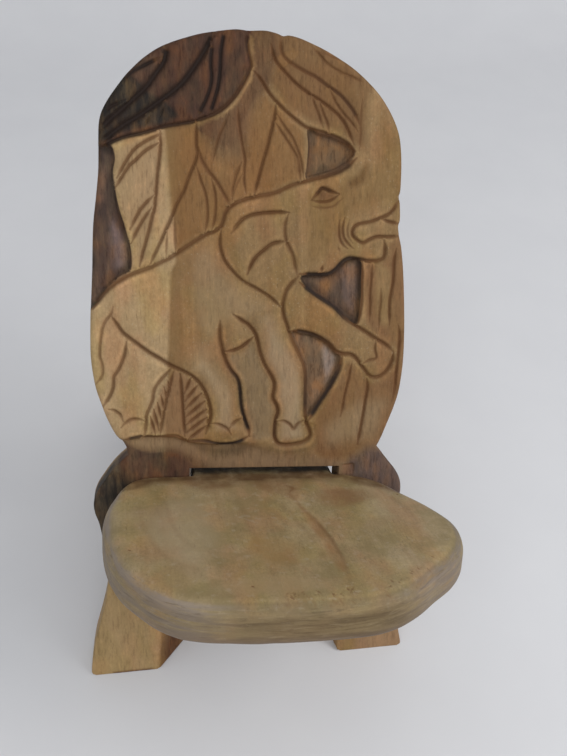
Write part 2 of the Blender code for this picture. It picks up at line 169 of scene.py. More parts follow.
soft_light("window_light", (1.9, -0.9, 1.9), (0.0, 0.0, 0.2), 1.4, 29.0)
soft_light("front_light", (-0.4, -1.7, 1.5), (0.0, -0.4, 0.0), 1.6, 13.0)
sky = bpy.data.worlds.new("even_light")
sky.use_nodes = True
feed(sky.node_tree, sky.node_tree.nodes["Background"], {"Color": (0.92, 0.96, 1.0, 1.0), "Strength": 0.64})
bpy.context.scene.world = sky
bpy.context.scene.view_settings.view_transform = "Standard"


# Back plank: one thick board of pale sapwood and tan heartwood, sawn to an arched panel over two splayed
# legs. It leans back on its feet. The places below are millimetres on its front face, across from the
# middle of the feet and up from the floor.
MM = 0.001
BACK_LEAN = math.radians(29.0)
FOOT_SPREAD = 292.0
PANEL_FACE = -3.5
SHOULDER_SLOPE = (150.0, 170.0)
REAR_FACE = 30.0
FLOOR_CLIMB = math.tan(BACK_LEAN)
LEG_EASE = 60.0
SOLE_ROUND = 4.0
LEFT_SIDE = [
    (-146, 0), (-144.5, 14), (-140, 36), (-133.5, 57), (-128.5, 75), (-125, 96), (-126, 118), (-129.5, 146),
    (-132.8, 158), (-133.2, 168), (-129.5, 178), (-123.3, 187), (-116.4, 195.8), (-109.6, 202.8),
    (-101.6, 209.5),
]
PANEL_EDGE = [
    (-101.6, 209.5), (-102.5, 217), (-106, 223.5), (-111, 230), (-117, 244), (-121, 257), (-125, 273),
    (-127, 294), (-126.6, 312), (-124.5, 340), (-121.5, 370), (-118.5, 405), (-114.5, 430), (-111.5, 450),
    (-110, 470), (-108, 489), (-102, 502), (-90, 517.5), (-82, 526), (-70, 536), (-55, 544.5), (-35, 550.8),
    (-20, 554), (0, 556.2), (9, 555.6), (13, 555.2), (25, 555.3), (34, 553.4), (39.5, 551.3), (44, 551.8),
    (52, 550), (61, 546.5), (75, 540), (92, 530), (105, 520), (118, 507), (127, 494), (133, 482),
    (136.5, 470), (138, 452), (137.6, 430), (136.3, 424), (137.4, 418), (137.6, 405), (136.2, 399),
    (137.3, 391), (139.5, 380), (141.5, 360), (143, 330), (143.5, 300), (142.5, 277), (139.5, 255),
    (135, 240), (129, 225), (123, 211), (119.6, 204),
]
RIGHT_SIDE = [
    (119.6, 204), (124, 198), (130.2, 189.3), (137, 180.4), (141.6, 171.6), (143.2, 162), (141.5, 148),
    (137, 122), (133.5, 98), (135, 75), (138.6, 50), (143, 20), (146, 0),
]
ARCH_LEFT, ARCH_RIGHT, ARCH_TOP = -83.0, 83.0, 80.0
ARCH_FLARE_LEFT, ARCH_FLARE_RIGHT, ARCH_FLARE_TOP = 30.0, 8.0, 10.0
ARCH_CROWDING, ARCH_FULLNESS = 0.7, 0.8
EDGE_STEP, SOLE_POINTS, ARCH_POINTS, LATH_STEPS = 1.6, 24, 110, 24
EDGE_TURNS = [0, 25, 50, 70, 90]
SHARP_EDGE, LEG_EDGE, TOP_EDGE, REAR_SOFTENING = 0.8, 2.6, 4.0, 1.1
SOLE_FADE, NECK_FADE = (3.0, 18.0), (200.0, 225.0)


def lath(points, step, closed=False):
    """A line through the points, rounded as a thin lath bends, in even steps."""
    knots = np.array(points, float)
    if closed:
        knots = np.vstack([knots[-1:], knots, knots[:2]])
    else:
        knots = np.vstack([2 * knots[0] - knots[1], knots, 2 * knots[-1] - knots[-2]])
    t = np.linspace(0.0, 1.0, LATH_STEPS, endpoint=False)[:, None]
    runs = []
    for a, b, c, d in zip(knots, knots[1:], knots[2:], knots[3:]):
        bow, twist = a - 2.5 * b + 2 * c - d / 2, 1.5 * (b - c) + (d - a) / 2
        runs.append(b + (c - a) * t / 2 + bow * t**2 + twist * t**3)
    fine = np.vstack(runs + [knots[-2:-1]])
    travel = np.concatenate([[0.0], np.cumsum(np.hypot(*np.diff(fine, axis=0).T))])
    stops = np.linspace(0.0, travel[-1], max(2, round(travel[-1] / step)) + 1)
    if closed:
        stops = stops[:-1]
    return np.column_stack([np.interp(stops, travel, fine[:, k]) for k in (0, 1)])


def ease(value, start, end):
    """A smooth step from 0 at start to 1 at end."""
    share = np.clip((np.asarray(value, float) - start) / (end - start), 0.0, 1.0)
    return share * share * (3.0 - 2.0 * share)


left_side, panel_side, right_side = [lath(side, EDGE_STEP) for side in (LEFT_SIDE, PANEL_EDGE, RIGHT_SIDE)]


def sole_curl(up):
    """How far a worn corner of a sole draws in at this height above the floor."""
    near = np.clip(1.0 - up / SOLE_ROUND, 0.0, 1.0)
    return SOLE_ROUND * (1.0 - np.sqrt(1.0 - near**2))


def back_outline(depth):
    """The plank's outline at this depth behind its lower front face, anticlockwise from the left sole."""
    floor_line = max(0.0, depth * FLOOR_CLIMB)
    rows = []
    for side, turned in ((left_side, 1.0), (right_side, -1.0)):
        up = side[:, 1]
        lifted = np.where(up < LEG_EASE, floor_line + up * (LEG_EASE - floor_line) / LEG_EASE, up)
        order = np.argsort(up)
        across = np.interp(lifted, up[order], side[order, 0]) + turned * sole_curl(up)
        rows.append(np.column_stack([across, lifted]))
    left, right = rows
    share = depth / REAR_FACE
    inner_left = ARCH_LEFT + ARCH_FLARE_LEFT * share
    inner_right = ARCH_RIGHT - ARCH_FLARE_RIGHT * share
    even = np.linspace(0.0, 2 * math.pi, ARCH_POINTS)
    turn = (even - ARCH_CROWDING * np.sin(even)) / 2
    rise = (ARCH_TOP - ARCH_FLARE_TOP * share - floor_line) * np.abs(np.sin(turn)) ** ARCH_FULLNESS
    across = (inner_left + inner_right) / 2 + (inner_right - inner_left) / 2 * np.cos(turn)
    across = across + np.where(turn < math.pi / 2, 1.0, -1.0) * sole_curl(rise)
    arch = np.column_stack([across, floor_line + rise])
    along = np.linspace(0.0, 1.0, SOLE_POINTS)[:, None]
    left_sole = left[0] * along + arch[-1] * (1 - along)
    right_sole = arch[0] * along + right[-1] * (1 - along)
    clockwise = (left, panel_side, right, right_sole, arch, left_sole)
    return np.vstack([run[:-1] for run in clockwise])[::-1]


def inward(ring):
    """The unit normals of a ring that turns anticlockwise round the wood, pointing into the wood."""
    along = np.roll(ring, -1, axis=0) - np.roll(ring, 1, axis=0)
    along /= np.maximum(np.hypot(*along.T), 1e-9)[:, None]
    return np.column_stack([-along[:, 1], along[:, 0]])


def inside_of(line):
    """The unit normals of a closed line, pointing into what it holds, whichever way it turns."""
    turn = np.sum(line[:, 0] * np.roll(line[:, 1], -1) - np.roll(line[:, 0], -1) * line[:, 1])
    return inward(line) * (1.0 if turn > 0 else -1.0)


def edge_rings(outline, front, rear, front_round, rear_round, turns):
    """Rings down a board's edge, from the front face over its rounding and wall to the rear face, as places
    across, depth and along. Outline gives the ring at a depth, which is that of the ring's first point. The
    faces' depths and the roundings are one value for each point of the ring."""
    rows = [(turn, front + front_round * (1 - np.cos(turn)), front_round) for turn in np.radians(turns)]
    for share in (0.25, 0.5, 0.75):
        wall = (front + front_round) * (1 - share) + (rear - rear_round) * share
        rows.append((math.pi / 2, wall, front_round))
    rows += [(turn, rear - rear_round * (1 - np.cos(turn)), rear_round) for turn in np.radians(turns[::-1])]
    rings = []
    for turn, depth, size in rows:
        ring = outline(float(depth[0]))
        ring = ring + inward(ring) * (size * (1 - np.sin(turn)))[:, None]
        rings.append(np.column_stack([ring[:, 0], depth, ring[:, 1]]))
    return rings


def front_depth(up):
    """The front face's depth before carving: the panel stands out in front of the lower board."""
    return PANEL_FACE * ease(up, *SHOULDER_SLOPE)


sawn_across, sawn_up = back_outline(0.0).T
on_arch = (np.abs(sawn_across) < ARCH_RIGHT + 1) & (sawn_up < ARCH_TOP + 2)
full_round = np.where(on_arch, LEG_EDGE, LEG_EDGE + (TOP_EDGE - LEG_EDGE) * ease(sawn_up, *NECK_FADE))
edge_round = SHARP_EDGE + (full_round - SHARP_EDGE) * ease(sawn_up, *SOLE_FADE)
back_edge = edge_rings(back_outline, front_depth(sawn_up), np.full(len(sawn_up), REAR_FACE), edge_round,
                       edge_round * REAR_SOFTENING, EDGE_TURNS)

# The slot through the back plank, chopped with a chisel and a little out of level. It falls to the right,
# and the tongue of the seat slides through it.
SLOT_MIDDLE = (17.0, 173.8)
SLOT_SIZE = (134.0, 33.6)
SLOT_TILT = math.radians(3.2)
SLOT_STEP = 2.0


def slot_outline(depth):
    """The slot's ring, clockwise round the opening so that the wood lies on its left."""
    wide, high = SLOT_SIZE[0] / 2, SLOT_SIZE[1] / 2
    corners = [(-wide, -high), (-wide, high), (wide, high), (wide, -high)]
    ring = []
    for a, b in zip(corners, corners[1:] + corners[:1]):
        steps = max(2, round(math.dist(a, b) / SLOT_STEP))
        ring += [(a[0] + (b[0] - a[0]) * n / steps, a[1] + (b[1] - a[1]) * n / steps) for n in range(steps)]
    flat = np.array(ring)
    across = SLOT_MIDDLE[0] + flat[:, 0] * math.cos(SLOT_TILT) + flat[:, 1] * math.sin(SLOT_TILT)
    up = SLOT_MIDDLE[1] + flat[:, 1] * math.cos(SLOT_TILT) - flat[:, 0] * math.sin(SLOT_TILT)
    return np.column_stack([across, up])


slot_up = slot_outline(0.0)[:, 1]
slot_round = np.full(len(slot_up), SHARP_EDGE)
slot_edge = edge_rings(slot_outline, front_depth(slot_up), np.full(len(slot_up), REAR_FACE), slot_round,
                       slot_round, EDGE_TURNS)

# The carving on the panel: chisel cuts, each made with one of a few gouges, as a width, a depth and how
# dark the cut was stained. The wood slopes down to a cut on the left and on the right of the way it runs.
WIDE_BURNT = (5.4, 2.5, 1.0)
BURNT = (3.2, 1.7, 1.0)
BOLD = (3.4, 2.1, 0.78)
FIRM = (2.9, 1.6, 0.62)
LIGHT = (2.4, 1.15, 0.5)
HAIR = (1.9, 0.9, 0.45)
CUT_STEP, RUN_OUT, THIN_END, FAINT_END = 1.2, 9.0, 0.4, 0.35
cuts = []


def chisel(gouge, points, left=0.5, right=0.5, dark=None, among=cuts):
    """Adds one cut along the points. The slopes drop by millimetres. Dark may be values along the cut."""
    wide, deep, stain = gouge
    among.append((lath(points, CUT_STEP), wide, deep, stain if dark is None else dark, left, right))


# The elephant: its back, head and jaw.
chisel(BOLD, [(-123, 339), (-117, 347), (-109, 355), (-100, 361.5), (-90, 366.5), (-75, 371.5),
              (-59, 378.5), (-50, 384), (-30, 396), (-20, 400), (-14.5, 404), (-11, 414), (-7, 419),
              (0, 423), (15, 427), (30, 429.5), (45, 435.5), (61, 439.5), (73, 442), (85, 446), (93, 451),
              (99, 456.5)], 1.8, 0.8, (0.95, 0.85, 0.7, 0.7, 0.75, 0.8, 0.75, 0.8, 0.9, 0.95))
chisel(BOLD, [(50, 362), (57, 361.8), (65, 361.3), (75, 361.5), (81, 365), (87, 371), (93, 374), (101, 373),
              (110, 371), (118, 371), (123, 373.5), (124.3, 381), (123, 388.5)], 1.0, 0.9,
       (1.0, 1.0, 1.0, 0.95, 0.75, 0.65))
chisel(FIRM, [(68.5, 363), (70, 368.5)])
# The eye with its lids, and the creases of the cheek.
chisel(BOLD, [(60.5, 423), (66, 428.5), (70, 432.5), (77, 430), (84.5, 427.5)], 0.3, 1.4,
       (0.75, 0.9, 0.9, 0.9, 0.75))
chisel(LIGHT, [(84.5, 427.5), (79, 423.5), (74, 421.6), (67, 421.6), (60.5, 423)], 0.3, 1.1, 0.8)
chisel(HAIR, [(61, 418), (70, 416.5), (79, 417.5), (84, 421.5), (88, 424.5)])
chisel(LIGHT, [(84.5, 406.5), (84, 400), (84.5, 392), (87, 386), (91.5, 382)], dark=0.7)
chisel(LIGHT, [(89, 408.5), (87.2, 400), (88, 392), (92, 386), (96.5, 382)], dark=0.7)
chisel(HAIR, [(93, 406), (91.3, 399), (92, 392), (96, 386.5)])
chisel(HAIR, [(83, 384), (85, 380)])
# The mouth and the tusk, which runs out to the edge of the plank.
chisel(FIRM, [(137, 423), (129, 411.5), (120, 407), (111, 404), (100, 402), (96, 398), (96, 393),
              (100, 389), (105, 386.5), (111, 389.5), (118, 391.5), (126, 391), (138.5, 391.5)], 0.8, 1.1,
       0.75)
chisel(FIRM, [(120, 406.5), (128, 403.5), (137.5, 401.5)], dark=0.85)
# The ear: its hanging edge, its root and the fold inside.
chisel(FIRM, [(-15, 401), (-16.3, 390), (-15, 382), (-12, 374), (-6, 366), (2, 358), (15, 350), (25, 343),
              (34, 334)], 1.0, 1.5)
chisel(BOLD, [(-7, 397.5), (-1, 405), (5, 410), (15, 413), (30, 414), (42, 413.5)], 0.7, 1.5,
       (0.5, 0.7, 0.85, 0.8))
chisel(FIRM, [(41, 412), (38.3, 402), (39, 391), (42, 384), (45, 377), (46.5, 368), (48, 361)], 1.3, 1.1)
chisel(BOLD, [(5.5, 363), (9, 371), (13, 377), (20, 383), (27, 388), (34, 389.5), (39.5, 389.5)], 0.5, 1.5,
       (0.9, 0.8, 0.7, 0.55))
# The near foreleg, down its back, round the foot and up its front to the chest.
chisel(BOLD, [(-7, 330), (0, 324.5), (5, 321), (10, 315), (13, 307), (15, 297), (18, 287), (22, 279),
              (26, 271), (27, 265), (25.5, 255), (28.5, 248), (29.7, 242), (28, 236), (26.5, 227),
              (26.5, 219), (29, 213.5), (33, 211.5), (40, 211), (50, 212), (56, 215), (58.3, 219),
              (57, 225), (54.5, 232), (54, 245), (54.3, 260), (54.3, 275), (52.6, 284), (48, 295),
              (43, 306), (39, 318), (36.3, 327), (35.5, 335), (38, 346), (42, 353), (49, 360)], 1.3, 1.6,
       (0.7, 0.75, 0.7, 0.8, 0.85, 0.9, 0.7, 0.75, 0.95, 0.9, 0.8, 0.75, 0.65, 0.65))
chisel(FIRM, [(29, 233.5), (35, 233.2), (40, 229.8), (43.5, 225.5), (47, 230), (53, 233.3)], dark=0.65)
# The raised foreleg, over its top, round the foot and back under it.
chisel(BOLD, [(50, 355), (60, 346.5), (72, 338), (80, 332), (90, 322), (100, 315), (110, 308), (117, 303),
              (125, 298), (132.5, 291)], 1.4, 1.3, (1.0, 1.0, 1.0, 0.85, 0.7, 0.7))
chisel(BOLD, [(41, 313.3), (50, 312.7), (60, 310), (68, 306), (76, 300), (81, 294), (87, 291), (93, 290.5),
              (98, 288), (102, 283), (107, 276), (111, 270.5), (116, 268.3), (122, 269.5), (128, 275),
              (132, 283), (133, 291)], 1.3, 1.3, (0.95, 0.95, 0.85, 0.7, 0.7, 0.7))
chisel(LIGHT, [(117, 303), (116.3, 294), (117.5, 286), (111, 284.2), (104, 281)], dark=0.6)
# The near hind leg: its front edge, its back edge from the rump, and the toes.
chisel(BOLD, [(-18.3, 325), (-19, 313), (-18, 305), (-16.5, 297), (-14, 289), (-10, 281), (-5, 274),
              (-3, 265), (-2.5, 255), (-1.5, 245), (1, 235), (3.5, 227), (4, 221)], 1.6, 1.3,
       (0.6, 0.75, 0.9, 1.0, 1.0, 1.0))
chisel(BOLD, [(-108.5, 333.5), (-104, 326), (-99, 318), (-90, 310), (-80, 301.5), (-70, 294.5),
              (-61, 288.3), (-55, 285), (-45, 279), (-38, 272), (-33, 263), (-30, 253), (-29, 243),
              (-31, 235), (-34, 226)], 1.2, 1.5, (0.6, 0.7, 0.75, 0.7, 0.7, 0.7))
chisel(FIRM, [(-29, 235), (-25, 234.7), (-19, 232), (-15, 229), (-12, 224)], dark=0.6)
chisel(FIRM, [(-13, 230), (-9, 234.5), (-2.5, 238.5)], dark=0.6)
# The far hind leg, its toes, the tail and the far line of the belly.
chisel(FIRM, [(-97, 311), (-98.5, 302), (-101, 295), (-105, 287), (-109, 281), (-110, 273), (-113, 265),
              (-120, 255)], 0.8, 1.1)
chisel(FIRM, [(-61, 286), (-66, 280.5), (-71, 275), (-76, 268), (-78, 259), (-81, 252), (-84, 245),
              (-84.7, 237), (-86, 230), (-88, 226)], 1.2, 0.9)
chisel(FIRM, [(-115.5, 253.3), (-111, 252), (-106, 248), (-103.5, 241.5)], dark=0.6)
chisel(FIRM, [(-105.7, 236.3), (-101, 240.7), (-96, 243), (-90, 242.7), (-85.5, 241)], dark=0.6)
chisel(LIGHT, [(-106, 341), (-108.5, 334), (-113, 329), (-116, 322), (-118.5, 310), (-119.5, 300),
               (-118, 292), (-118.5, 283), (-125, 274.5)], dark=0.5)
chisel(BOLD, [(-15, 298.3), (-7, 299), (0, 302), (10, 310)], 0.4, 1.3, 0.85)

# The boughs over the elephant: the dark leaf at the left, with its ribs stained nearly black.
chisel(BOLD, [(-110, 467), (-104.6, 469.5), (-91, 475), (-73.5, 478.7), (-57.2, 483.2), (-36.9, 486.3),
              (-30.1, 488), (-17.7, 492.4), (-9.4, 497.6), (-1, 505.3), (6.1, 515.6), (11.1, 524.6),
              (12.8, 529.5), (11, 538.5), (9.8, 548.8), (10.2, 557)], 1.0, 0.6,
       (1.0, 0.97, 0.95, 0.95, 0.92, 0.9, 0.7, 0.6))
chisel(WIDE_BURNT, [(-13.5, 556), (-21.3, 543.6), (-29.8, 531), (-41, 517.1), (-52.1, 508.2),
                    (-63.1, 500.6), (-76.8, 491.7), (-90.5, 484.1), (-103, 475.1), (-109, 470)], 1.1, 1.1)
chisel(WIDE_BURNT, [(-51, 547), (-53.2, 541.7), (-55.6, 532.3), (-62, 523.5), (-69, 514.6), (-77.3, 507),
                    (-89.8, 496.9), (-102.2, 486.8), (-109, 479)], 0.9, 0.9)
chisel(BURNT, [(-57.4, 535.4), (-69.6, 529.8), (-81.7, 523.5), (-90, 514.7)], 0.3, 0.3)
chisel(BURNT, [(-86, 504), (-92, 501.4), (-98.9, 498.3), (-107, 490)], 0.3, 0.3)
chisel(BURNT, [(-17, 549), (-17.9, 543), (-19.1, 531), (-18.8, 520.8), (-20.4, 511.9), (-24.1, 502.9),
               (-28.5, 495.1), (-32.5, 488.4)], 0.3, 0.2)
chisel(BURNT, [(-6.5, 558), (-9.5, 546.2), (-10.9, 537.4), (-11.9, 524.6), (-13.6, 514.4), (-16.7, 504.1),
               (-20.3, 495.1), (-24, 490)], 0.2, 0.3)
chisel(LIGHT, [(-56.5, 499.5), (-59, 494), (-62.5, 487.5)], 0.2, 0.2, 0.9)
chisel(LIGHT, [(-68.5, 491.5), (-72.5, 484)], 0.2, 0.2, 0.9)
# The big leaf at the right and its ribs.
chisel(FIRM, [(14.5, 525), (20, 519), (27, 508), (35, 499), (45, 490), (55, 482.5), (61, 480), (75, 476),
              (85, 472), (93, 467), (98, 461.5)], 0.8, 1.2, (0.8, 0.75, 0.75, 0.9, 0.9))
chisel(FIRM, [(37, 550), (37, 541), (40, 535), (47, 529.5), (55, 525), (65, 520), (75, 513), (84, 507),
              (91, 500), (97, 492), (101, 483)], 1.0, 0.5, (0.6, 0.85, 0.9, 0.9))
chisel(FIRM, [(29, 545), (32, 534), (39, 525), (48, 516), (57, 509), (67, 503), (77, 496), (85, 489),
              (91, 480), (96.5, 467)], 0.6, 0.8, 0.74)
chisel(LIGHT, [(60, 545), (67, 538), (75, 530), (85, 524), (95, 520), (107, 515)], dark=0.35)
chisel(HAIR, [(65, 540), (72, 538), (80, 535), (90, 532)], dark=0.6)
chisel(LIGHT, [(60.5, 508), (64, 499), (67, 491), (70.5, 481)])
chisel(LIGHT, [(67.5, 502), (71, 492), (74, 485), (76, 476)])
chisel(LIGHT, [(76, 511), (81, 501), (88, 491.5), (95, 484), (100, 477)])
chisel(HAIR, [(103.5, 503), (102, 487), (102, 475), (101, 462)], dark=0.4)
# The hanging leaves between the boughs and the elephant.
chisel(FIRM, [(-60, 478), (-73, 472), (-82, 466), (-89, 457), (-97, 444)], dark=0.72)
chisel(FIRM, [(-62, 471), (-73, 465), (-81, 458), (-88, 452), (-99, 436)], dark=0.72)
chisel(FIRM, [(-61, 480), (-61.7, 465), (-65, 445), (-68, 422), (-71, 412), (-75, 398), (-79, 386),
              (-83, 373)], dark=0.72)
chisel(FIRM, [(-68.5, 430), (-75, 424), (-81, 417), (-89, 403)], dark=0.72)
chisel(FIRM, [(-70.5, 420.5), (-77, 412), (-84, 401), (-88.5, 392)], dark=0.72)
chisel(FIRM, [(-32, 486), (-32.7, 470), (-32.5, 460), (-40, 443), (-44, 433), (-50, 423), (-55, 412),
              (-59, 404), (-64, 394), (-74.5, 374)], 0.6, 1.0)
chisel(HAIR, [(-59, 401), (-60, 392), (-61, 380)])
chisel(HAIR, [(-52.5, 411), (-53, 395), (-53, 384)])
chisel(FIRM, [(-31, 467), (-29, 457), (-23, 447), (-17, 439), (-11, 428), (-7, 420)], 1.0, 0.5, 0.7)
chisel(LIGHT, [(-33, 451), (-30, 440), (-27, 431), (-25.7, 420), (-26, 410), (-28.5, 399)], dark=0.6)
chisel(LIGHT, [(-21.5, 442), (-19, 430), (-19, 418), (-20.5, 408), (-23, 400)], dark=0.6)
chisel(LIGHT, [(-6, 491), (-13, 478), (-17, 467), (-20, 456)], dark=0.4)
chisel(LIGHT, [(1.5, 498), (2, 485), (4, 470), (6, 457), (5.5, 450), (5, 440), (6.5, 429)], 0.6, 0.6, 0.6)
chisel(LIGHT, [(3.5, 455), (-1, 445), (-4, 435), (-5.5, 424)])
chisel(HAIR, [(4, 445.5), (0, 439), (-4, 429)])
chisel(FIRM, [(32, 499), (31, 489), (29, 482), (25, 467), (21, 455), (16, 438), (13, 428)], 0.6, 1.0)
chisel(LIGHT, [(33, 492), (39, 482), (45, 474), (49, 465), (52, 456), (54.5, 440)])
chisel(LIGHT, [(31, 486), (37, 477), (45, 465), (50, 455), (51.5, 439)])

# The ferns between the hind legs, each a rib with a row of slanting cuts beside it.
chisel(FIRM, [(-59.3, 283), (-62.6, 271.2), (-67.5, 253.3), (-72.5, 230.7), (-73, 227.5)])
chisel(FIRM, [(-53.6, 281), (-52.9, 263.1), (-52.5, 243.3), (-52.1, 224.5)], dark=0.75)
for n in range(6):
    chisel(LIGHT, [(-64.2 - 3.3 * n, 275 - 6 * n), (-62.3 - 2.95 * n, max(228, 265 - 8.3 * n))], 0.2, 0.2,
           0.8)
for n, reach in enumerate((-44.5, -39, -36, -33.5, -32.3, -32, -32.6)):
    chisel(FIRM, [(-51, 263 - 7.1 * n), (reach, 277.5 - 7.3 * n)], 0.3, 0.3, 0.8)

# The bark of the tree trunk at the right, cut with the grain, and the ground line under the elephant.
chisel(FIRM, [(134, 381), (132.5, 370), (132, 355), (130.5, 345), (129, 335), (129, 315)], dark=0.75)
chisel(LIGHT, [(113, 368), (112.5, 355), (111.5, 345), (111.5, 332), (111, 318)], dark=0.6)
chisel(LIGHT, [(121, 347), (121, 335), (120, 325), (119.5, 311)], dark=0.5)
chisel(FIRM, [(137, 314), (138.5, 305), (137.5, 289), (136, 273), (135, 257), (133.5, 247)], dark=0.8)
chisel(LIGHT, [(95.5, 282), (93, 269), (90, 257), (87, 241), (85.3, 234)], dark=0.65)
chisel(FIRM, [(109, 268), (110, 260), (108, 248), (106, 234), (103.5, 220), (101, 207)], dark=0.75)
chisel(LIGHT, [(104.5, 370), (104.3, 355), (104, 335), (102, 322), (100, 315)], dark=0.8)
chisel(BURNT, [(87, 289), (84, 277), (79, 267), (73, 257), (66, 247), (56, 232)], 0.3, 0.3,
       (0.85, 1.0, 1.0, 1.0))
# The ground line is stained to full dark, partly as painted shade under the step of the ledge.
chisel(FIRM, [(-106, 225), (-100, 225.5), (-88, 227), (-76, 226), (-60, 225.5), (-54, 222.5), (-48, 220),
              (-35, 219.5), (-25, 216.5), (-15, 215.5), (-5, 217), (4, 222)], 1.0, 0.0,
       (1.0, 0.9, 0.8, 0.9, 1.0, 1.0))
# A slip of the chisel just right of the slot.
chisel(HAIR, [(88, 188), (93, 187.7), (98, 188), (98, 178.5)], 0.0, 0.0)


guides = []


def guide(name, lines, closed, attributes):
    """A mesh of lines, or of filled outlines, flat on the board's face, with values at its points."""
    mesh = bpy.data.meshes.new(name)
    places, edges, areas = [], [], []
    for line in lines:
        first = len(places)
        places += [(x * MM, 0.0, z * MM) for x, z in line]
        if closed:
            areas.append(list(range(first, len(places))))
        else:
            edges += [(i, i + 1) for i in range(first, len(places) - 1)]
    mesh.from_pydata(places, edges, areas)
    kinds = {1: ("FLOAT", "value"), 3: ("FLOAT_VECTOR", "vector"), 4: ("FLOAT_COLOR", "color")}
    for key, values in attributes.items():
        values = np.asarray(values, np.float32)
        kind, field = kinds[1 if values.ndim == 1 else values.shape[1]]
        mesh.attributes.new(key, kind, "POINT").data.foreach_set(field, values.ravel())
    obj = stand(name, mesh)
    obj.hide_render = True
    guides.append(obj)
    return obj


def heading(line):
    """The unit direction of a line at each of its points."""
    ahead = np.gradient(line, axis=0)
    return ahead / np.hypot(*ahead.T)[:, None]


def cut_guide(name, cut_list):
    """The lines of the chisel cuts, with each cut running out thin and shallow at its two ends."""
    values = {"half": [], "deep": [], "dark": [], "left": [], "right": [], "along": []}
    for line, wide, deep, dark, left, right in cut_list:
        count = len(line)
        from_end = np.minimum(np.arange(count), np.arange(count)[::-1]) * CUT_STEP
        body = THIN_END + (1 - THIN_END) * ease(from_end, 0.0, min(RUN_OUT, 0.5 * count))
        for key, size in (("half", wide / 2), ("deep", deep), ("left", left), ("right", right)):
            values[key] += list(size * MM * body)
        stains = np.interp(np.linspace(0, 1, count), np.linspace(0, 1, np.size(dark)), np.atleast_1d(dark))
        values["dark"] += list(stains * (FAINT_END + (1 - FAINT_END) * body))
        values["along"] += [(x, 0.0, z) for x, z in heading(line)]
    return guide(name, [cut[0] for cut in cut_list], False, values)


AREA_STEP = 2.0


def area(corners, slope, paint=(0, 0, 0), strength=0.0, depth=0.0, rounded=True, grow=0.0):
    """One filled outline on a face: the width of the slope inside its rim, one for all or one for each
    corner, the colour and strength painted on it, as dye or in places as painted light and shade, how deep
    it is sunk, and how far it grows past its corners. Sizes are millimetres."""
    if rounded:
        line = lath(corners, AREA_STEP, True)
    else:
        line = np.vstack([np.linspace(a, b, max(1, round(math.dist(a, b) / AREA_STEP)), endpoint=False)
                          for a, b in zip(corners, corners[1:] + corners[:1])])
    stops = [np.argmin(np.hypot(*(line - corner).T)) for corner in np.array(corners, float)]
    slopes = np.interp(np.arange(len(line)), stops, np.broadcast_to(slope, len(corners)), period=len(line))
    return line - inside_of(line) * grow, slopes, depth, tone(*paint), strength


def area_guide(name, areas):
    """Filled outlines that don't overlap, with their values at their points."""
    values = {"slope": [], "depth": [], "paint": [], "strength": []}
    for line, slopes, depth, paint, strength in areas:
        values["slope"] += list(slopes * MM)
        values["depth"] += [depth * MM] * len(line)
        values["paint"] += [paint] * len(line)
        values["strength"] += [strength] * len(line)
    return guide(name, [a[0] for a in areas], True, values)


carving = cut_guide("carving_lines", cuts)

# The lower board is cut back below the ground line. The step is steep at the left and fades to the right.
ground_line = [(-111, 226), (-100, 225.5), (-84, 227.5), (-60, 225.5), (-48, 220), (-25, 216.5), (-5, 217)]
lower_board = area_guide("lower_board", [
    area([(-200, 226)] + ground_line + [(6, 218), (20, 216), (40, 213), (60, 214), (85, 216), (118, 218),
                                        (200, 222), (200, SHOULDER_SLOPE[0]), (-200, SHOULDER_SLOPE[0])],
         [2.5] * 7 + [4, 9, 16, 20, 24, 30, 34, 34, 20, 20], (122, 98, 75), 0.75, depth=-PANEL_FACE,
         rounded=False),
])
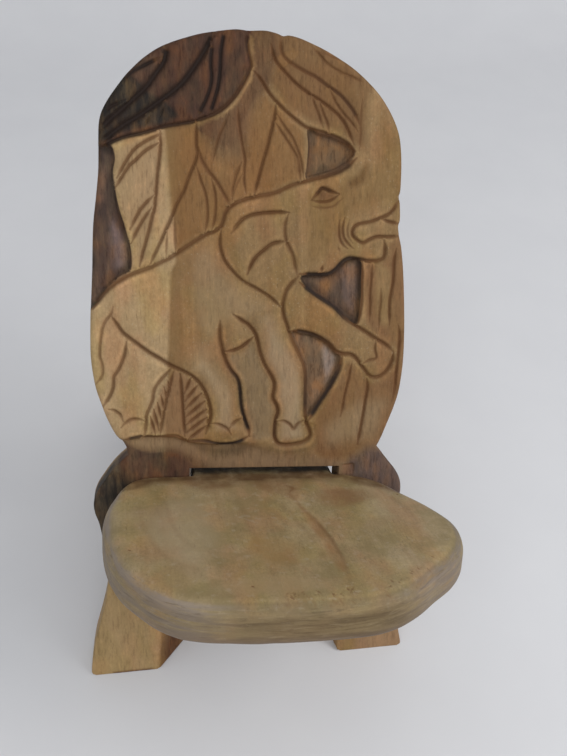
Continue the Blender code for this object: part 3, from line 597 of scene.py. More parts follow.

# The wood between the legs, behind the leaves and on the bark is cut back a little. Thin dye browns or
# pales the head, the legs, the leaves, the ferns and the bark, the plank's feet and the board by the seat.
# The near hind leg and near foreleg are painted paler as highlights on their rounded form, and the inner
# face of the left foot under the arch is painted dark, partly as stain and partly as painted shade.
thin_dyes = area_guide("thin_dyes", [
    area([(-13, 297), (-7, 298), (0, 301), (9, 308), (12, 305), (14, 297), (17, 287), (21, 279), (25, 271),
          (25.5, 264), (24.5, 255), (27, 249), (28, 242), (26.5, 236), (25, 227), (25, 217), (5, 217),
          (4.5, 226), (2.5, 235), (0, 245), (-1, 255), (-1.7, 265), (-4, 274), (-9, 281), (-12.5, 289)],
         5.0, (124, 106, 82), 0.55, depth=1.4),
    area([(-57, 482), (-57, 380), (-50, 384.5), (-30, 396.5), (-20, 400.5), (-14, 405), (-11, 415),
          (-7, 420), (0, 424), (15, 428), (30, 430.5), (45, 436.5), (55, 440), (57, 476), (45, 489),
          (35, 498), (27, 507), (15, 524), (5, 510), (-10, 494), (-30, 487)], [16, 16, 8] + [5] * 18,
         (122, 84, 47), 0.6, depth=0.6),
    area([(14, 570), (14.5, 527), (28, 509), (46, 491), (62, 481), (85, 473), (98, 462), (108, 460),
          (110, 480), (112, 503), (120, 514), (130, 530), (90, 570)], 8.0, (108, 77, 48), 0.75),
    area([(106, 368), (118, 369), (126, 378), (128, 388), (160, 388), (160, 190), (112, 190), (64, 196),
          (60, 232), (68, 245), (80, 264), (90, 284), (104, 278), (114, 266), (130, 272), (136, 290),
          (112, 310), (105, 322)], 5.0, (116, 82, 54), 0.6, depth=0.5),
    # The inner face of the left foot under the arch, painted dark: partly stain, partly painted shade.
    area([(-84, -30), (-83.5, 14), (-78, 34), (-59, 64), (-20, 85), (20, 85), (30, 66), (-28, 44), (-44, 0),
          (-44, -30)], 9.0, (84, 54, 38), 0.9),
    area([(57, 65), (76, 34), (83, 14), (83.5, -30), (68, -30), (64, 20), (42, 62)], 3.0, (146, 108, 80),
         0.5),
    area([(-112, 221), (-84, 219), (-58, 217), (-34, 209), (-6, 200), (-10, 188), (-40, 160), (-112, 146)],
         [5, 9, 10, 24, 40, 40, 30, 16], (78, 53, 42), 0.95),
    area([(-160, -30), (-160, 96), (-98, 96), (-92, 40), (-88, -30)], 7.0, (148, 123, 82), 0.6),
    area([(-100, 465), (-63, 477), (-63, 440), (-69, 400), (-79, 374), (-86, 374), (-87, 394), (-97, 420),
          (-100, 448)], 5.0, (150, 124, 92), 0.75),
    area([(52, 432), (62, 434.5), (74, 437), (87, 441), (96, 447.5), (111, 456), (113, 480), (116, 500),
          (122, 500), (130, 478), (134, 450), (133, 428), (124, 414), (110, 408), (97, 405.5), (90, 396),
          (86, 384), (74, 370), (60, 367), (53, 370), (50, 400)], 12.0, (118, 90, 52), 0.55),
    area([(-59, 285), (-62, 279.5), (-67, 274), (-72.5, 268), (-75, 259), (-79, 252), (-81.5, 245),
          (-82.5, 237), (-84, 230), (-85, 227.5), (-60, 226.5), (-50, 221.5), (-36, 221), (-33.5, 228),
          (-31, 236), (-30.5, 243), (-31.5, 253), (-34.5, 262), (-39, 270.5), (-46, 277.5), (-54, 283.5)],
         3.0, (132, 100, 72), 0.65, depth=0.6),
    # The near hind leg painted paler, fading out at its top: a painted highlight on its rounded form.
    area([(-20, 322), (-22, 305), (-19, 290), (-12, 276), (-7, 262), (-6, 245), (-3.5, 232), (-2, 226),
          (-28, 226), (-27.5, 245), (-30, 262), (-38, 276), (-48, 284), (-44, 310), (-32, 326)],
         [40, 30, 20, 12, 9, 9, 9, 9, 9, 9, 9, 9, 14, 34, 40], (164, 142, 112), 0.5),
    area([(96, 92), (100, 40), (98, -30), (160, -30), (160, 92)], 9.0, (152, 120, 94), 0.5),
    # The near foreleg painted paler in the same way: a painted highlight on its rounded form.
    area([(-2, 328), (8, 319), (15, 304), (18, 290), (28, 269), (28, 255), (31, 242), (28.5, 225),
          (30, 215), (40, 213), (55, 216), (53, 232), (52, 262), (50, 284), (42, 303), (36, 318), (33, 332),
          (20, 342)], [36, 26, 14, 8, 7, 7, 7, 7, 7, 7, 7, 7, 7, 9, 12, 18, 26, 36], (162, 143, 116), 0.5),
])

# The sunk grounds of the relief, chopped out and stained nearly black in the corners: left of the leaves,
# above the head, under the jaw and between the forelegs. The leaf at the top left and the shoulders are
# stained as dark. Dark smudges below the ground line, under the feet, are painted shade under the ledge.
GROUND_LEFT = [
    (-150, 470), (-112, 470), (-100.5, 469.5), (-97.6, 460), (-99.8, 448), (-98.7, 434), (-96.6, 420),
    (-93.4, 408), (-90.8, 396), (-89.3, 388), (-89, 376), (-91.5, 369), (-101, 363.5), (-109, 356.5),
    (-117, 348), (-123, 340), (-150, 330),
]
GROUND_HEAD = [
    (58.5, 479.5), (68, 477), (78, 474), (88, 469.5), (95, 465), (97.5, 461), (93, 453), (85, 448),
    (73, 444), (61, 441.5), (56, 441.5), (57, 450), (58.3, 465),
]
GROUND_JAW = [
    (52, 360.5), (65, 360.5), (75, 360.5), (81.5, 364), (87.5, 370), (94, 373), (103, 371.5), (103.7, 355),
    (103.2, 335), (100, 317), (90, 323.5), (80, 333), (72, 339), (60, 347.5), (53, 354),
]
GROUND_LEGS = [
    (42.5, 312), (50, 311.5), (60, 309), (68, 305), (76, 299), (81, 293), (85.5, 288.5), (83, 277),
    (78, 267), (72, 257), (65, 247), (58, 237.5), (55.5, 236), (55, 245), (55.3, 260), (55.3, 275),
    (53.6, 284), (49, 295.5),
]
DARK_LEAF = [
    (-150, 468), (-109, 468), (-93, 475), (-61, 482.5), (-30, 488.5), (-10, 495.5), (4, 511), (12, 525),
    (12, 535), (10.5, 545), (10.5, 590), (-150, 590),
]
GROUND_DEPTH, GROUND_SLOPE = 5.0, 3.2
grounds = [GROUND_LEFT, GROUND_HEAD, GROUND_JAW, GROUND_LEGS]
rim_dyes = [(58, 44, 39), (82, 61, 46), (58, 44, 36), (98, 75, 55)]
ground_dyes = area_guide("ground_dyes", [
    area(ground, GROUND_SLOPE, paint, 0.97, depth=GROUND_DEPTH, grow=0.8)
    for ground, paint in zip(grounds, rim_dyes)
])
dark_dyes = area_guide("dark_dyes", [
    area(DARK_LEAF, 1.4, (71, 48, 38), 0.97, grow=1.2),
    area([(-150, 464), (-101.5, 464), (-101, 448), (-100, 434), (-98, 420), (-95, 408), (-92.3, 396),
          (-91, 388), (-90.5, 377), (-93, 371), (-101, 365.5), (-109, 358.5), (-117, 350), (-123, 342),
          (-150, 332)], 2.5, (74, 56, 49), 0.9),
    area(GROUND_JAW, 7.0, (98, 76, 61), 0.85),
    area(GROUND_LEGS, 4.5, (124, 96, 72), 0.9),
    area([(-200, 231), (-112, 222), (-98, 208), (-84, 190), (-84, 170), (-98, 150), (-108, 118),
          (-200, 100)], [20, 20, 24, 24, 24, 20, 20, 20], (38, 33, 30), 0.97),
    area([(100, 205), (124, 214), (200, 210), (200, 120), (122, 124), (92, 160), (87, 190)],
         [14, 20, 22, 22, 20, 14, 10], (92, 75, 69), 0.9),
    # Painted shade below the step of the ledge: dark smudges under the ground line, below the elephant's
    # feet.
    area([(-82, 214), (-70, 219), (-62, 208), (-62, 194), (-76, 190), (-84, 200)], 10.0, (50, 38, 31),
         0.65),
    area([(-48, 222), (-25, 218), (-2, 219), (12, 214), (6, 203), (-18, 199), (-42, 206)], 10.0,
         (58, 46, 34), 0.6),
    area([(20, 214), (34, 209), (56, 211), (64, 218), (66, 206), (40, 199), (20, 205)], 7.0, (70, 54, 38),
         0.6),
    area([(61, 423), (66, 428), (70, 432), (77, 429.5), (84, 427.3), (79, 423.7), (74, 421.8), (67, 421.8)],
         3.0, (98, 66, 42), 0.7),
])
# Patches in and beside these, where the stain lies thinner, the blackest part of the leaf, and the chip
# that the chisel lifted where it slipped. Pale lavender patches on the floors of the left pocket, the jaw
# pocket and the pocket between the forelegs are painted sheen.
pale_dyes = area_guide("pale_dyes", [
    area([(-150, 462), (-104, 458), (-104, 432), (-103.5, 424), (-112, 421), (-150, 418)], 8.0,
         (106, 79, 64), 0.7),
    # Painted sheen: a pale lavender highlight on the floor of the left pocket.
    area([(-109.5, 406), (-102, 417), (-95.5, 404), (-92, 392), (-91, 380), (-96, 370.5), (-105, 369.5),
          (-109.5, 384)], [12, 10, 5, 4, 4, 5, 8, 12], (112, 93, 89), 0.8),
    area([(13, 590), (13.5, 540), (15, 530), (12.5, 521), (5.5, 508.5), (-9, 494), (-24, 488), (-36, 484),
          (-34, 470), (-24, 452), (-8, 448), (10, 450), (16, 470), (20, 490), (28, 505), (36, 520),
          (38, 545), (36, 590)], [2, 2, 2, 2, 2, 2, 3, 9, 18, 24, 24, 24, 20, 16, 12, 10, 8, 6],
         (84, 57, 40), 0.8),
    area([(88, 438), (97, 445), (106, 456), (112, 450), (109, 436), (100, 430), (91, 431)], 6.0,
         (98, 70, 38), 0.8),
    area([(-16, 398), (-34, 390), (-46, 378), (-46, 346), (-42, 318), (-24, 306), (-6, 322), (4, 319),
          (16, 324), (31, 331), (26, 340), (10, 350), (-4, 361), (-13, 373), (-17.5, 387)], 14.0,
         (146, 124, 94), 0.5),
    area([(64, 226), (78, 240), (100, 254), (130, 254), (134, 236), (120, 206), (100, 204), (70, 200)],
         18.0, (138, 115, 88), 0.6),
    area([(114, 366), (124, 369), (132, 360), (134, 330), (129, 313), (117, 317), (114, 340)], 6.0,
         (134, 107, 72), 0.6),
    area(GROUND_HEAD, [7, 7, 7, 7, 7, 7, 5, 5, 4, 4, 6, 9, 9], (110, 85, 60), 0.85),
    area([(60, 356.5), (70, 357.5), (77, 358.5), (81, 352), (80, 342), (74, 343), (66, 349.5)], 7.0,
         (126, 94, 62), 0.65),
    # Painted sheen: a pale lavender patch at the right of the jaw pocket.
    area([(87, 364), (93, 370), (100, 369), (102, 358), (102, 345), (100, 330), (95, 328), (89, 335),
          (86, 345)], 3.5, (108, 87, 77), 0.7),
    # Painted sheen: a pale lavender patch at the upper right of the pocket between the forelegs.
    area([(69, 302), (75, 298.5), (80.5, 292.5), (84, 287), (80.5, 275), (75, 264), (72, 261), (70, 272),
          (68, 288)], 5.0, (156, 135, 121), 0.75),
    area([(-22, 493), (-10, 497), (4, 512), (11, 525), (9.5, 545), (9.5, 590), (-7, 590), (-11, 540),
          (-13, 515)], 7.0, (75, 51, 38), 0.85),
    area([(-62, 519), (-52, 522), (-42, 530), (-36, 548), (-50, 545), (-58, 531)], 7.0, (78, 54, 41), 0.7),
    area([(-150, 471), (-106, 471), (-93, 476.5), (-73.5, 481), (-52, 485.5), (-44, 492), (-54, 503),
          (-68, 511), (-76, 520), (-100, 534), (-150, 552)], 4.0, (31, 28, 28), 0.97),
    area([(88, 188.5), (98, 188.5), (98.5, 178), (88.5, 178.5)], 2.0, (120, 84, 66), 0.6, depth=0.7),
])


def inside(points, ring):
    """Which of the points lie inside a ring."""
    x, y = points[:, 0], points[:, 1]
    odd = np.zeros(len(points), bool)
    for (ax, ay), (bx, by) in zip(ring, np.roll(ring, -1, axis=0)):
        if ay != by:
            odd ^= ((ay > y) != (by > y)) & (x < (bx - ax) * (y - ay) / (by - ay) + ax)
    return odd


def spread(batches, rings):
    """The points of all the batches that lie in the wood and don't crowd an earlier one. The first ring is
    the outline and the others are holes. Each batch is its points and their least distance to any other."""
    cell = 1.0
    taken = {}
    for x, y in np.vstack(rings):
        taken.setdefault((int(x // cell), int(y // cell)), []).append((x, y))
    free = []
    for points, least in batches:
        points = points[inside(points, rings[0])]
        for hole in rings[1:]:
            points = points[~inside(points, hole)]
        reach = math.ceil(least / cell)
        limit = least * least
        for x, y in points:
            i, j = int(x // cell), int(y // cell)
            near = (q for a in range(i - reach, i + reach + 1) for b in range(j - reach, j + reach + 1)
                    for q in taken.get((a, b), ()))
            if all((x - q[0]) ** 2 + (y - q[1]) ** 2 > limit for q in near):
                taken.setdefault((i, j), []).append((x, y))
                free.append((x, y))
    return free


ROW_SPACING = 0.866


def grid(low, high, step):
    """Points in staggered rows over a box."""
    rows = []
    for n, y in enumerate(np.arange(low[1], high[1], step * ROW_SPACING)):
        x = np.arange(low[0] + (n % 2) * step / 2, high[0], step)
        rows.append(np.column_stack([x, np.full(len(x), y)]))
    return np.vstack(rows)


def face_triangles(rings, inner):
    """Triangles that fill a face between its rings, over the inner points, as numbers in that order."""
    flat = [Vector(p) for ring in rings for p in ring] + [Vector(p) for p in inner]
    edges = []
    first = 0
    for ring in rings:
        edges += [(first + i, first + (i + 1) % len(ring)) for i in range(len(ring))]
        first += len(ring)
    only_inside, closest = 1, 1e-5
    made, _, triangles, sources, _, _ = delaunay_2d_cdt(flat, edges, [], only_inside, closest)
    middles = np.array([np.mean([made[i][:] for i in triangle], axis=0) for triangle in triangles])
    open_here = np.zeros(len(triangles), bool)
    for hole in rings[1:]:
        open_here |= inside(middles, np.array(hole))
    return [[sources[i][0] for i in triangle] for triangle, gap in zip(triangles, open_here) if not gap]


def board(name, edges, front_points, rear_points, front_face, rear_face):
    """A closed board: the rings down its outline and its holes, with a fine mesh over its two faces. The
    faces are functions that give the depth at a place."""
    places, faces, fronts, rears = [], [], [], []
    for rings in edges:
        count = len(rings[0])
        for ring in rings:
            first = len(places)
            if ring is not rings[0]:
                last = first - count
                for i in range(count):
                    k = (i + 1) % count
                    faces.append((last + i, last + k, first + k, first + i))
            places += [tuple(p) for p in ring]
        fronts.append(range(len(places) - count * len(rings), len(places) - count * (len(rings) - 1)))
        rears.append(range(len(places) - count, len(places)))
    for borders, points, face in ((fronts, front_points, front_face), (rears, rear_points, rear_face)):
        numbers = [i for border in borders for i in border]
        numbers += range(len(places), len(places) + len(points))
        rings = [[(places[i][0], places[i][2]) for i in border] for border in borders]
        places += [(x, face(x, z), z) for x, z in points]
        faces += [tuple(numbers[i] for i in triangle) for triangle in face_triangles(rings, points)]
    form = bmesh.new()
    made = [form.verts.new((x * MM, y * MM, z * MM)) for x, y, z in places]
    for corners in faces:
        form.faces.new([made[i] for i in corners])
    bmesh.ops.recalc_face_normals(form, faces=form.faces)
    mesh = bpy.data.meshes.new(name)
    form.to_mesh(mesh)
    form.free()
    return stand(name, mesh)


def rows_beside(cut_list):
    """Points in rows along each cut: its bottom, its two walls and its two rims."""
    rows = []
    for share in (0.0, 0.5, -0.5, 1.05, -1.05, 1.9, -1.9):
        for line, wide, *_ in cut_list:
            ahead = heading(line)
            rows.append(line + np.column_stack([-ahead[:, 1], ahead[:, 0]]) * wide / 2 * share)
    return np.vstack(rows)


RIM_STEP = 1.4


def rows_in(outlines, width):
    """Points in rows down the slope inside the rim of each filled outline."""
    rows = []
    for corners in outlines:
        line = lath(corners, RIM_STEP, True)
        for share in (-0.2, 0.1, 0.4, 0.7, 1.0):
            rows.append(line + inside_of(line) * width * share)
    return np.vstack(rows)


# The board's mesh: rows of points along the cuts and down the rims, then an even spread, finer on the panel
# than below it and coarse on the rear face.
front_rings = [edge[0][:, [0, 2]] for edge in (back_edge, slot_edge)]
rear_rings = [edge[-1][:, [0, 2]] for edge in (back_edge, slot_edge)]
ledge_rows = np.vstack([lath(ground_line, RIM_STEP) - (0.0, drop) for drop in (0.0, 0.9, 1.8, 2.6)])
front_points = spread([
    (rows_beside(cuts), 0.55), (rows_in(grounds, GROUND_SLOPE), 0.8), (ledge_rows, 0.8),
    (grid((-150, 200), (150, 560), 2.3), 1.5), (grid((-150, 0), (150, 205), 4.0), 2.5),
], front_rings)
rear_points = spread([(grid((-150, 10), (150, 560), 6.0), 3.5)], rear_rings)
carved_back = board("carved_back", [back_edge, slot_edge], front_points, rear_points,
                    lambda x, z: float(front_depth(z)), lambda x, z: REAR_FACE)


def new_group(name, kind, inputs, outputs):
    """A node group with the named inputs, as (name, kind, value), and outputs, as (name, kind). With it
    come the sockets that give its inputs and the node that takes its results."""
    group = bpy.data.node_groups.new(name, kind)
    for label, sort, value in inputs:
        socket = group.interface.new_socket(label, in_out="INPUT", socket_type="NodeSocket" + sort)
        if value is not None:
            socket.default_value = value
    for label, sort in outputs:
        group.interface.new_socket(label, in_out="OUTPUT", socket_type="NodeSocket" + sort)
    return group, group.nodes.new("NodeGroupInput").outputs, group.nodes.new("NodeGroupOutput")


def new_tree(name, inputs):
    """A geometry tree that takes in a mesh, the named inputs and a finish, and puts out a mesh."""
    inputs = [("Geometry", "Geometry", None)] + inputs + [("Material", "Material", None)]
    return new_group(name, "GeometryNodeTree", inputs, [("Geometry", "Geometry")])


def end_tree(tree, given, result, geometry):
    """Ends a tree: one plain mesh in the finish given to it."""
    whole = add(tree, "GeometryNodeRealizeInstances", {"Geometry": geometry}).outputs[0]
    painted = add(tree, "GeometryNodeSetMaterial", {"Geometry": whole, "Material": given["Material"]})
    feed(tree, result, {"Geometry": painted.outputs[0]})
    return tree


def stored(tree, name, kind="FLOAT"):
    """A named value of the mesh's points."""
    return add(tree, "GeometryNodeInputNamedAttribute", {"Name": name}, data_type=kind).outputs["Attribute"]


def store(tree, geometry, name, value, kind="FLOAT"):
    """The mesh with a named value stored at its points."""
    inputs = {"Geometry": geometry, "Name": name, "Value": value}
    node = add(tree, "GeometryNodeStoreNamedAttribute", inputs, data_type=kind, domain="POINT")
    return node.outputs["Geometry"]


def plus(tree, first, second):
    """The sum of two values."""
    return calc(tree, "ADD", first, second)


def minus(tree, first, second):
    """The first value less the second."""
    return calc(tree, "SUBTRACT", first, second)


def split(tree, place):
    """The three parts of a place."""
    return add(tree, "ShaderNodeSeparateXYZ", {0: place}).outputs


def point_place(tree):
    """The place of each point."""
    return add(tree, "GeometryNodeInputPosition").outputs[0]


def flat_place(tree):
    """The place of each point, pressed flat into the plane of the board's face."""
    parts = split(tree, point_place(tree))
    return add(tree, "ShaderNodeCombineXYZ", {"X": parts["X"], "Z": parts["Z"]}).outputs[0]


def nearest(tree, geometry, place, element):
    """How far the nearest edge or face of a guide lies from a place, and where."""
    where = {"Geometry": geometry, "Sample Position": place}
    return add(tree, "GeometryNodeProximity", where, target_element=element).outputs


def nearest_values(tree, geometry, place):
    """A function that gives the named value at the point of a guide nearest to a place."""
    where = {"Geometry": geometry, "Sample Position": place}
    index = add(tree, "GeometryNodeSampleNearest", where).outputs[0]

    def value(name, kind="FLOAT"):
        at = {"Geometry": geometry, "Value": stored(tree, name, kind), "Index": index}
        return add(tree, "GeometryNodeSampleIndex", at, data_type=kind).outputs["Value"]

    return value


def ramp(tree, value, start, end):
    """A smooth step from 0 where the value is at its start to 1 where it is at its end."""
    node = add(tree, "ShaderNodeMapRange", {"Value": value, "From Min": start, "From Max": end},
               interpolation_type="SMOOTHSTEP")
    return node.outputs["Result"]


def worked_face(tree, start, end):
    """1 on the worked face, easing to 0 down the board's edge between two depths."""
    return ramp(tree, split(tree, point_place(tree))["Y"], end, start)


FAR_FROM_CUT = 6.0
TOUCHING = 0.0003
REAR_EASE = 0.008


def chisel_tree():
    """Works out how deep the nearest chisel cut goes at each point, how far off it is and how dark."""
    tree, given, result = new_tree("chisel_lines", [
        ("Lines", "Object", None), ("Slope Width", "Float", 0.010), ("Stain Start", "Float", 0.004),
        ("Stain End", "Float", 0.010)])
    lines = add(tree, "GeometryNodeObjectInfo", {"Object": given["Lines"]}).outputs["Geometry"]
    flat = flat_place(tree)
    near = nearest(tree, lines, flat, "EDGES")
    of_cut = nearest_values(tree, lines, flat)
    off = vector(tree, "SUBTRACT", flat, near["Position"])
    cross = vector(tree, "CROSS_PRODUCT", of_cut("along", "FLOAT_VECTOR"), off)
    on_left = calc(tree, "LESS_THAN", split(tree, cross)["Y"], 0.0)
    bank = add(tree, "ShaderNodeMix", {0: on_left, 2: of_cut("right"), 3: of_cut("left")}).outputs[0]
    away = calc(tree, "DIVIDE", near["Distance"], of_cut("half"))
    steep = calc(tree, "MAXIMUM", minus(tree, 1.0, times(tree, away, away)), 0.0)
    slope = ramp(tree, near["Distance"], given["Slope Width"], 0.0)
    depth = plus(tree, times(tree, of_cut("deep"), steep), times(tree, bank, slope))
    geometry = store(tree, given["Geometry"], "sink", plus(tree, stored(tree, "sink"), depth))
    geometry = store(tree, geometry, "away", calc(tree, "MINIMUM", away, FAR_FROM_CUT))
    face = worked_face(tree, given["Stain Start"], given["Stain End"])
    geometry = store(tree, geometry, "dark", times(tree, of_cut("dark"), face))
    return end_tree(tree, given, result, geometry)


def sunk_tree():
    """Sinks the points inside filled outlines, with a slope at the rim and chisel marks on the floor, and
    notes the colour painted there: dye, and in some places painted highlights, sheen and shade."""
    tree, given, result = new_tree("sunk_areas", [
        ("Areas", "Object", None), ("Chisel Marks", "Float", 0.0), ("Dye Rim", "Float", 1.0),
        ("Dye Start", "Float", 0.017), ("Dye End", "Float", 0.027)])
    areas = add(tree, "GeometryNodeObjectInfo", {"Object": given["Areas"]}).outputs["Geometry"]
    flat = flat_place(tree)
    hit = calc(tree, "LESS_THAN", nearest(tree, areas, flat, "FACES")["Distance"], TOUCHING)
    from_rim = nearest(tree, areas, flat, "EDGES")["Distance"]
    of_area = nearest_values(tree, areas, flat)
    share = times(tree, hit, ramp(tree, from_rim, 0.0, of_area("slope")))
    marks = noise(tree, vector(tree, "MULTIPLY", flat, (1.0, 1.0, 0.35)), 320.0, 1.0)
    rough = times(tree, given["Chisel Marks"], minus(tree, marks, 0.5))
    drop = times(tree, share, times(tree, of_area("depth"), plus(tree, 1.0, rough)))
    geometry = store(tree, given["Geometry"], "sink", plus(tree, stored(tree, "sink"), drop))
    face = worked_face(tree, given["Dye Start"], given["Dye End"])
    dye_slope = times(tree, of_area("slope"), given["Dye Rim"])
    brushed = times(tree, hit, ramp(tree, from_rim, 0.0, dye_slope))
    strength = times(tree, brushed, face, of_area("strength"))
    total = calc(tree, "MAXIMUM", stored(tree, "dyed"), strength)
    fresh = calc(tree, "DIVIDE", strength, calc(tree, "MAXIMUM", total, 0.0001))
    dye = blend(tree, stored(tree, "dye", "FLOAT_COLOR"), of_area("paint", "FLOAT_COLOR"), fresh)
    geometry = store(tree, geometry, "dye", dye, "FLOAT_COLOR")
    geometry = store(tree, geometry, "dyed", total)
    return end_tree(tree, given, result, geometry)


def press_tree():
    """Presses the face in by what the cuts and grounds call for, easing off down the board's edge, and
    leaves the soft waves of hand planing on both faces."""
    tree, given, result = new_tree("press_face", [
        ("Face Depth", "Float", 0.0), ("Edge Depth", "Float", 0.014), ("Front Waves", "Float", 0.0),
        ("Rear Waves", "Float", 0.0), ("Rear Depth", "Float", 0.03)])
    here = point_place(tree)
    depth = split(tree, here)["Y"]
    front = ramp(tree, depth, given["Edge Depth"], given["Face Depth"])
    rear = ramp(tree, depth, minus(tree, given["Rear Depth"], REAR_EASE), given["Rear Depth"])
    long = vector(tree, "MULTIPLY", here, (1.0, 1.0, 0.45))
    front_wave = times(tree, given["Front Waves"], minus(tree, noise(tree, long, 45.0, 2.0), 0.5))
    hewn = add(tree, "ShaderNodeTexVoronoi", {"Vector": long, "Scale": 38.0, "Smoothness": 0.35},
               feature="SMOOTH_F1").outputs["Distance"]
    rear_wave = times(tree, rear, times(tree, given["Rear Waves"], hewn))
    sunk = times(tree, front, plus(tree, stored(tree, "sink"), front_wave))
    offset = add(tree, "ShaderNodeCombineXYZ", {"Y": minus(tree, sunk, rear_wave)}).outputs[0]
    moved = add(tree, "GeometryNodeSetPosition", {"Geometry": given["Geometry"], "Offset": offset})
    smooth = add(tree, "GeometryNodeSetShadeSmooth", {"Geometry": moved.outputs[0]})
    return end_tree(tree, given, result, smooth.outputs[0])


def work(obj, tree, **values):
    """Adds a tree to the object as a modifier. Input names are given with underscores for spaces."""
    modifier = obj.modifiers.new(tree.name, "NODES")
    modifier.node_group = tree
    for item in tree.interface.items_tree:
        key = item.name.replace(" ", "_")
        if item.in_out == "INPUT" and key in values:
            modifier[item.identifier] = values[key]


def settle(obj, place):
    """Turns the worked object into a plain mesh at its place in the chair, without guides or modifiers."""
    bpy.context.view_layer.update()
    graph = bpy.context.evaluated_depsgraph_get()
    worked = obj.evaluated_get(graph)
    mesh = bpy.data.meshes.new_from_object(worked, preserve_all_data_layers=True, depsgraph=graph)
    obj.modifiers.clear()
    obj.data = mesh
    mesh.name = obj.name
    mesh.transform(place)
    while guides:
        bpy.data.objects.remove(guides.pop(), do_unlink=True)


def kept_value(tree, name, part="Fac"):
    """A value that the work left at the points of a mesh, for its finish."""
    return add(tree, "ShaderNodeAttribute", attribute_name=name).outputs[part]


FULL_TURN = 6.2832
PITH_ACROSS, PITH_BEHIND, PITH_LEAN = 0.03, 0.16, 0.09


def grain_group():
    """Wood grain on board coordinates, across, depth and along: bands, fibres, growth rings and pores."""
    group, given, result = new_group("board_grain", "ShaderNodeTree", [
        ("Vector", "Vector", None), ("Pale", "Color", None), ("Full", "Color", None),
        ("Late", "Color", None), ("Ring Strength", "Float", 0.3), ("Ring Spacing", "Float", 90.0),
        ("Fibre Strength", "Float", 0.22),
    ], [("Color", "Color"), ("Height", "Float"), ("Fibre", "Float")])
    place, late = given["Vector"], given["Late"]
    bands = noise(group, place, (26.0, 26.0, 2.6), 3.0)
    fibres = noise(group, place, (620.0, 620.0, 16.0), 3.0, 0.65)
    streaks = noise(group, place, (170.0, 170.0, 5.0), 3.0, 0.6)
    flecks = noise(group, place, (900.0, 900.0, 95.0), 1.0)
    mottle = noise(group, place, (70.0, 70.0, 45.0), 4.0, 0.6)
    speckle = noise(group, place, (460.0, 460.0, 300.0), 3.0, 0.75)
    dust = noise(group, place, (640.0, 640.0, 520.0), 2.0)
    clouds = noise(group, place, (34.0, 34.0, 20.0), 3.0, part="Color")
    warp = noise(group, place, (9.0, 9.0, 2.5), 2.0, part="Color")
    parts = split(group, vector(group, "ADD", place, vector(group, "MULTIPLY", warp, (0.06, 0.06, 0.06))))
    from_pith = add(group, "ShaderNodeCombineXYZ", {
        "X": minus(group, parts["X"], PITH_ACROSS), "Y": minus(group, parts["Y"], PITH_BEHIND),
        "Z": times(group, parts["Z"], PITH_LEAN)}).outputs[0]
    radius = add(group, "ShaderNodeVectorMath", {0: from_pith}, operation="LENGTH").outputs["Value"]
    phase = times(group, radius, times(group, given["Ring Spacing"], FULL_TURN))
    ring = calc(group, "POWER", plus(group, times(group, calc(group, "SINE", phase), 0.5), 0.5), 3.0)
    base = blend(group, given["Pale"], given["Full"], ramp(group, bands, 0.3, 0.7))
    ringed = blend(group, base, late, ring, given["Ring Strength"])
    streaked = blend(group, ringed, late, ramp(group, streaks, 0.45, 0.8), 0.22)
    fibred = blend(group, streaked, late, ramp(group, fibres, 0.35, 0.75), given["Fibre Strength"])
    pore = times(group, ramp(group, flecks, 0.66, 0.78), 0.3)
    pored = blend(group, fibred, (0.05, 0.03, 0.015, 1.0), pore)
    light = plus(group, plus(group, times(group, mottle, 0.50), times(group, speckle, 0.74)), 0.38)
    grey = add(group, "ShaderNodeCombineColor", {0: light, 1: light, 2: light}).outputs[0]
    tinted = blend(group, pored, grey, 1.0, kind="MULTIPLY")
    red, yellow, pale = add(group, "ShaderNodeSeparateColor", {0: clouds}).outputs
    for cloud, start, end, tint in ((red, 0.44, 0.64, (1.08, 0.95, 0.93, 1.0)),
                                    (yellow, 0.44, 0.64, (0.97, 0.97, 0.84, 1.0)),
                                    (pale, 0.48, 0.68, (1.07, 1.07, 1.09, 1.0))):
        tinted = blend(group, tinted, tint, ramp(group, cloud, start, end), kind="MULTIPLY")
    dusted = blend(group, tinted, tone(186, 172, 146), ramp(group, dust, 0.62, 0.74), 0.22)
    height = minus(group, times(group, fibres, 0.6), times(group, pore, 0.8))
    feed(group, result, {"Color": dusted, "Height": height, "Fibre": fibres})
    return group


def burn_group():
    """The stain of chisel cuts: dark in the cut, soft at its uneven edge, with a pale rim that is partly
    rubbed wear and partly painted highlight.
    """
    group, given, result = new_group("stained_cuts", "ShaderNodeTree", [
        ("Color", "Color", None), ("Vector", "Vector", None), ("Stain", "Color", None),
        ("Full Stain", "Color", None)], [("Color", "Color")])
    away, dark, dyed = [kept_value(group, name) for name in ("away", "dark", "dyed")]
    wander = minus(group, noise(group, given["Vector"], 260.0, 2.0), 0.5)
    patchy = noise(group, given["Vector"], 48.0, 2.0)
    uneven = plus(group, away, times(group, wander, 0.7))
    cut = times(group, ramp(group, uneven, 1.55, 0.25), dark)
    halo = times(group, ramp(group, uneven, 2.9, 0.7), times(group, dark, 0.32))
    # The pale rim beside each cut: partly rubbed wear, partly painted highlight.
    rim = times(group, ramp(group, uneven, 1.3, 2.0), ramp(group, uneven, 4.2, 2.4))
    bare = times(group, ramp(group, patchy, 0.45, 0.65), times(group, dark, 0.8),
                 ramp(group, dyed, 0.7, 0.2))
    rim_worn_and_highlighted = blend(group, given["Color"], (1.36, 1.32, 1.3, 1.0), rim, bare, kind="MULTIPLY")
    stain = blend(group, given["Stain"], given["Full Stain"], ramp(group, dark, 0.82, 1.0))
    browned = blend(group, rim_worn_and_highlighted, stain, halo, kind="DARKEN")
    feed(group, result, {"Color": blend(group, browned, stain, cut, 0.93, kind="DARKEN")})
    return group


board_grain = grain_group()
stained_cuts = burn_group()


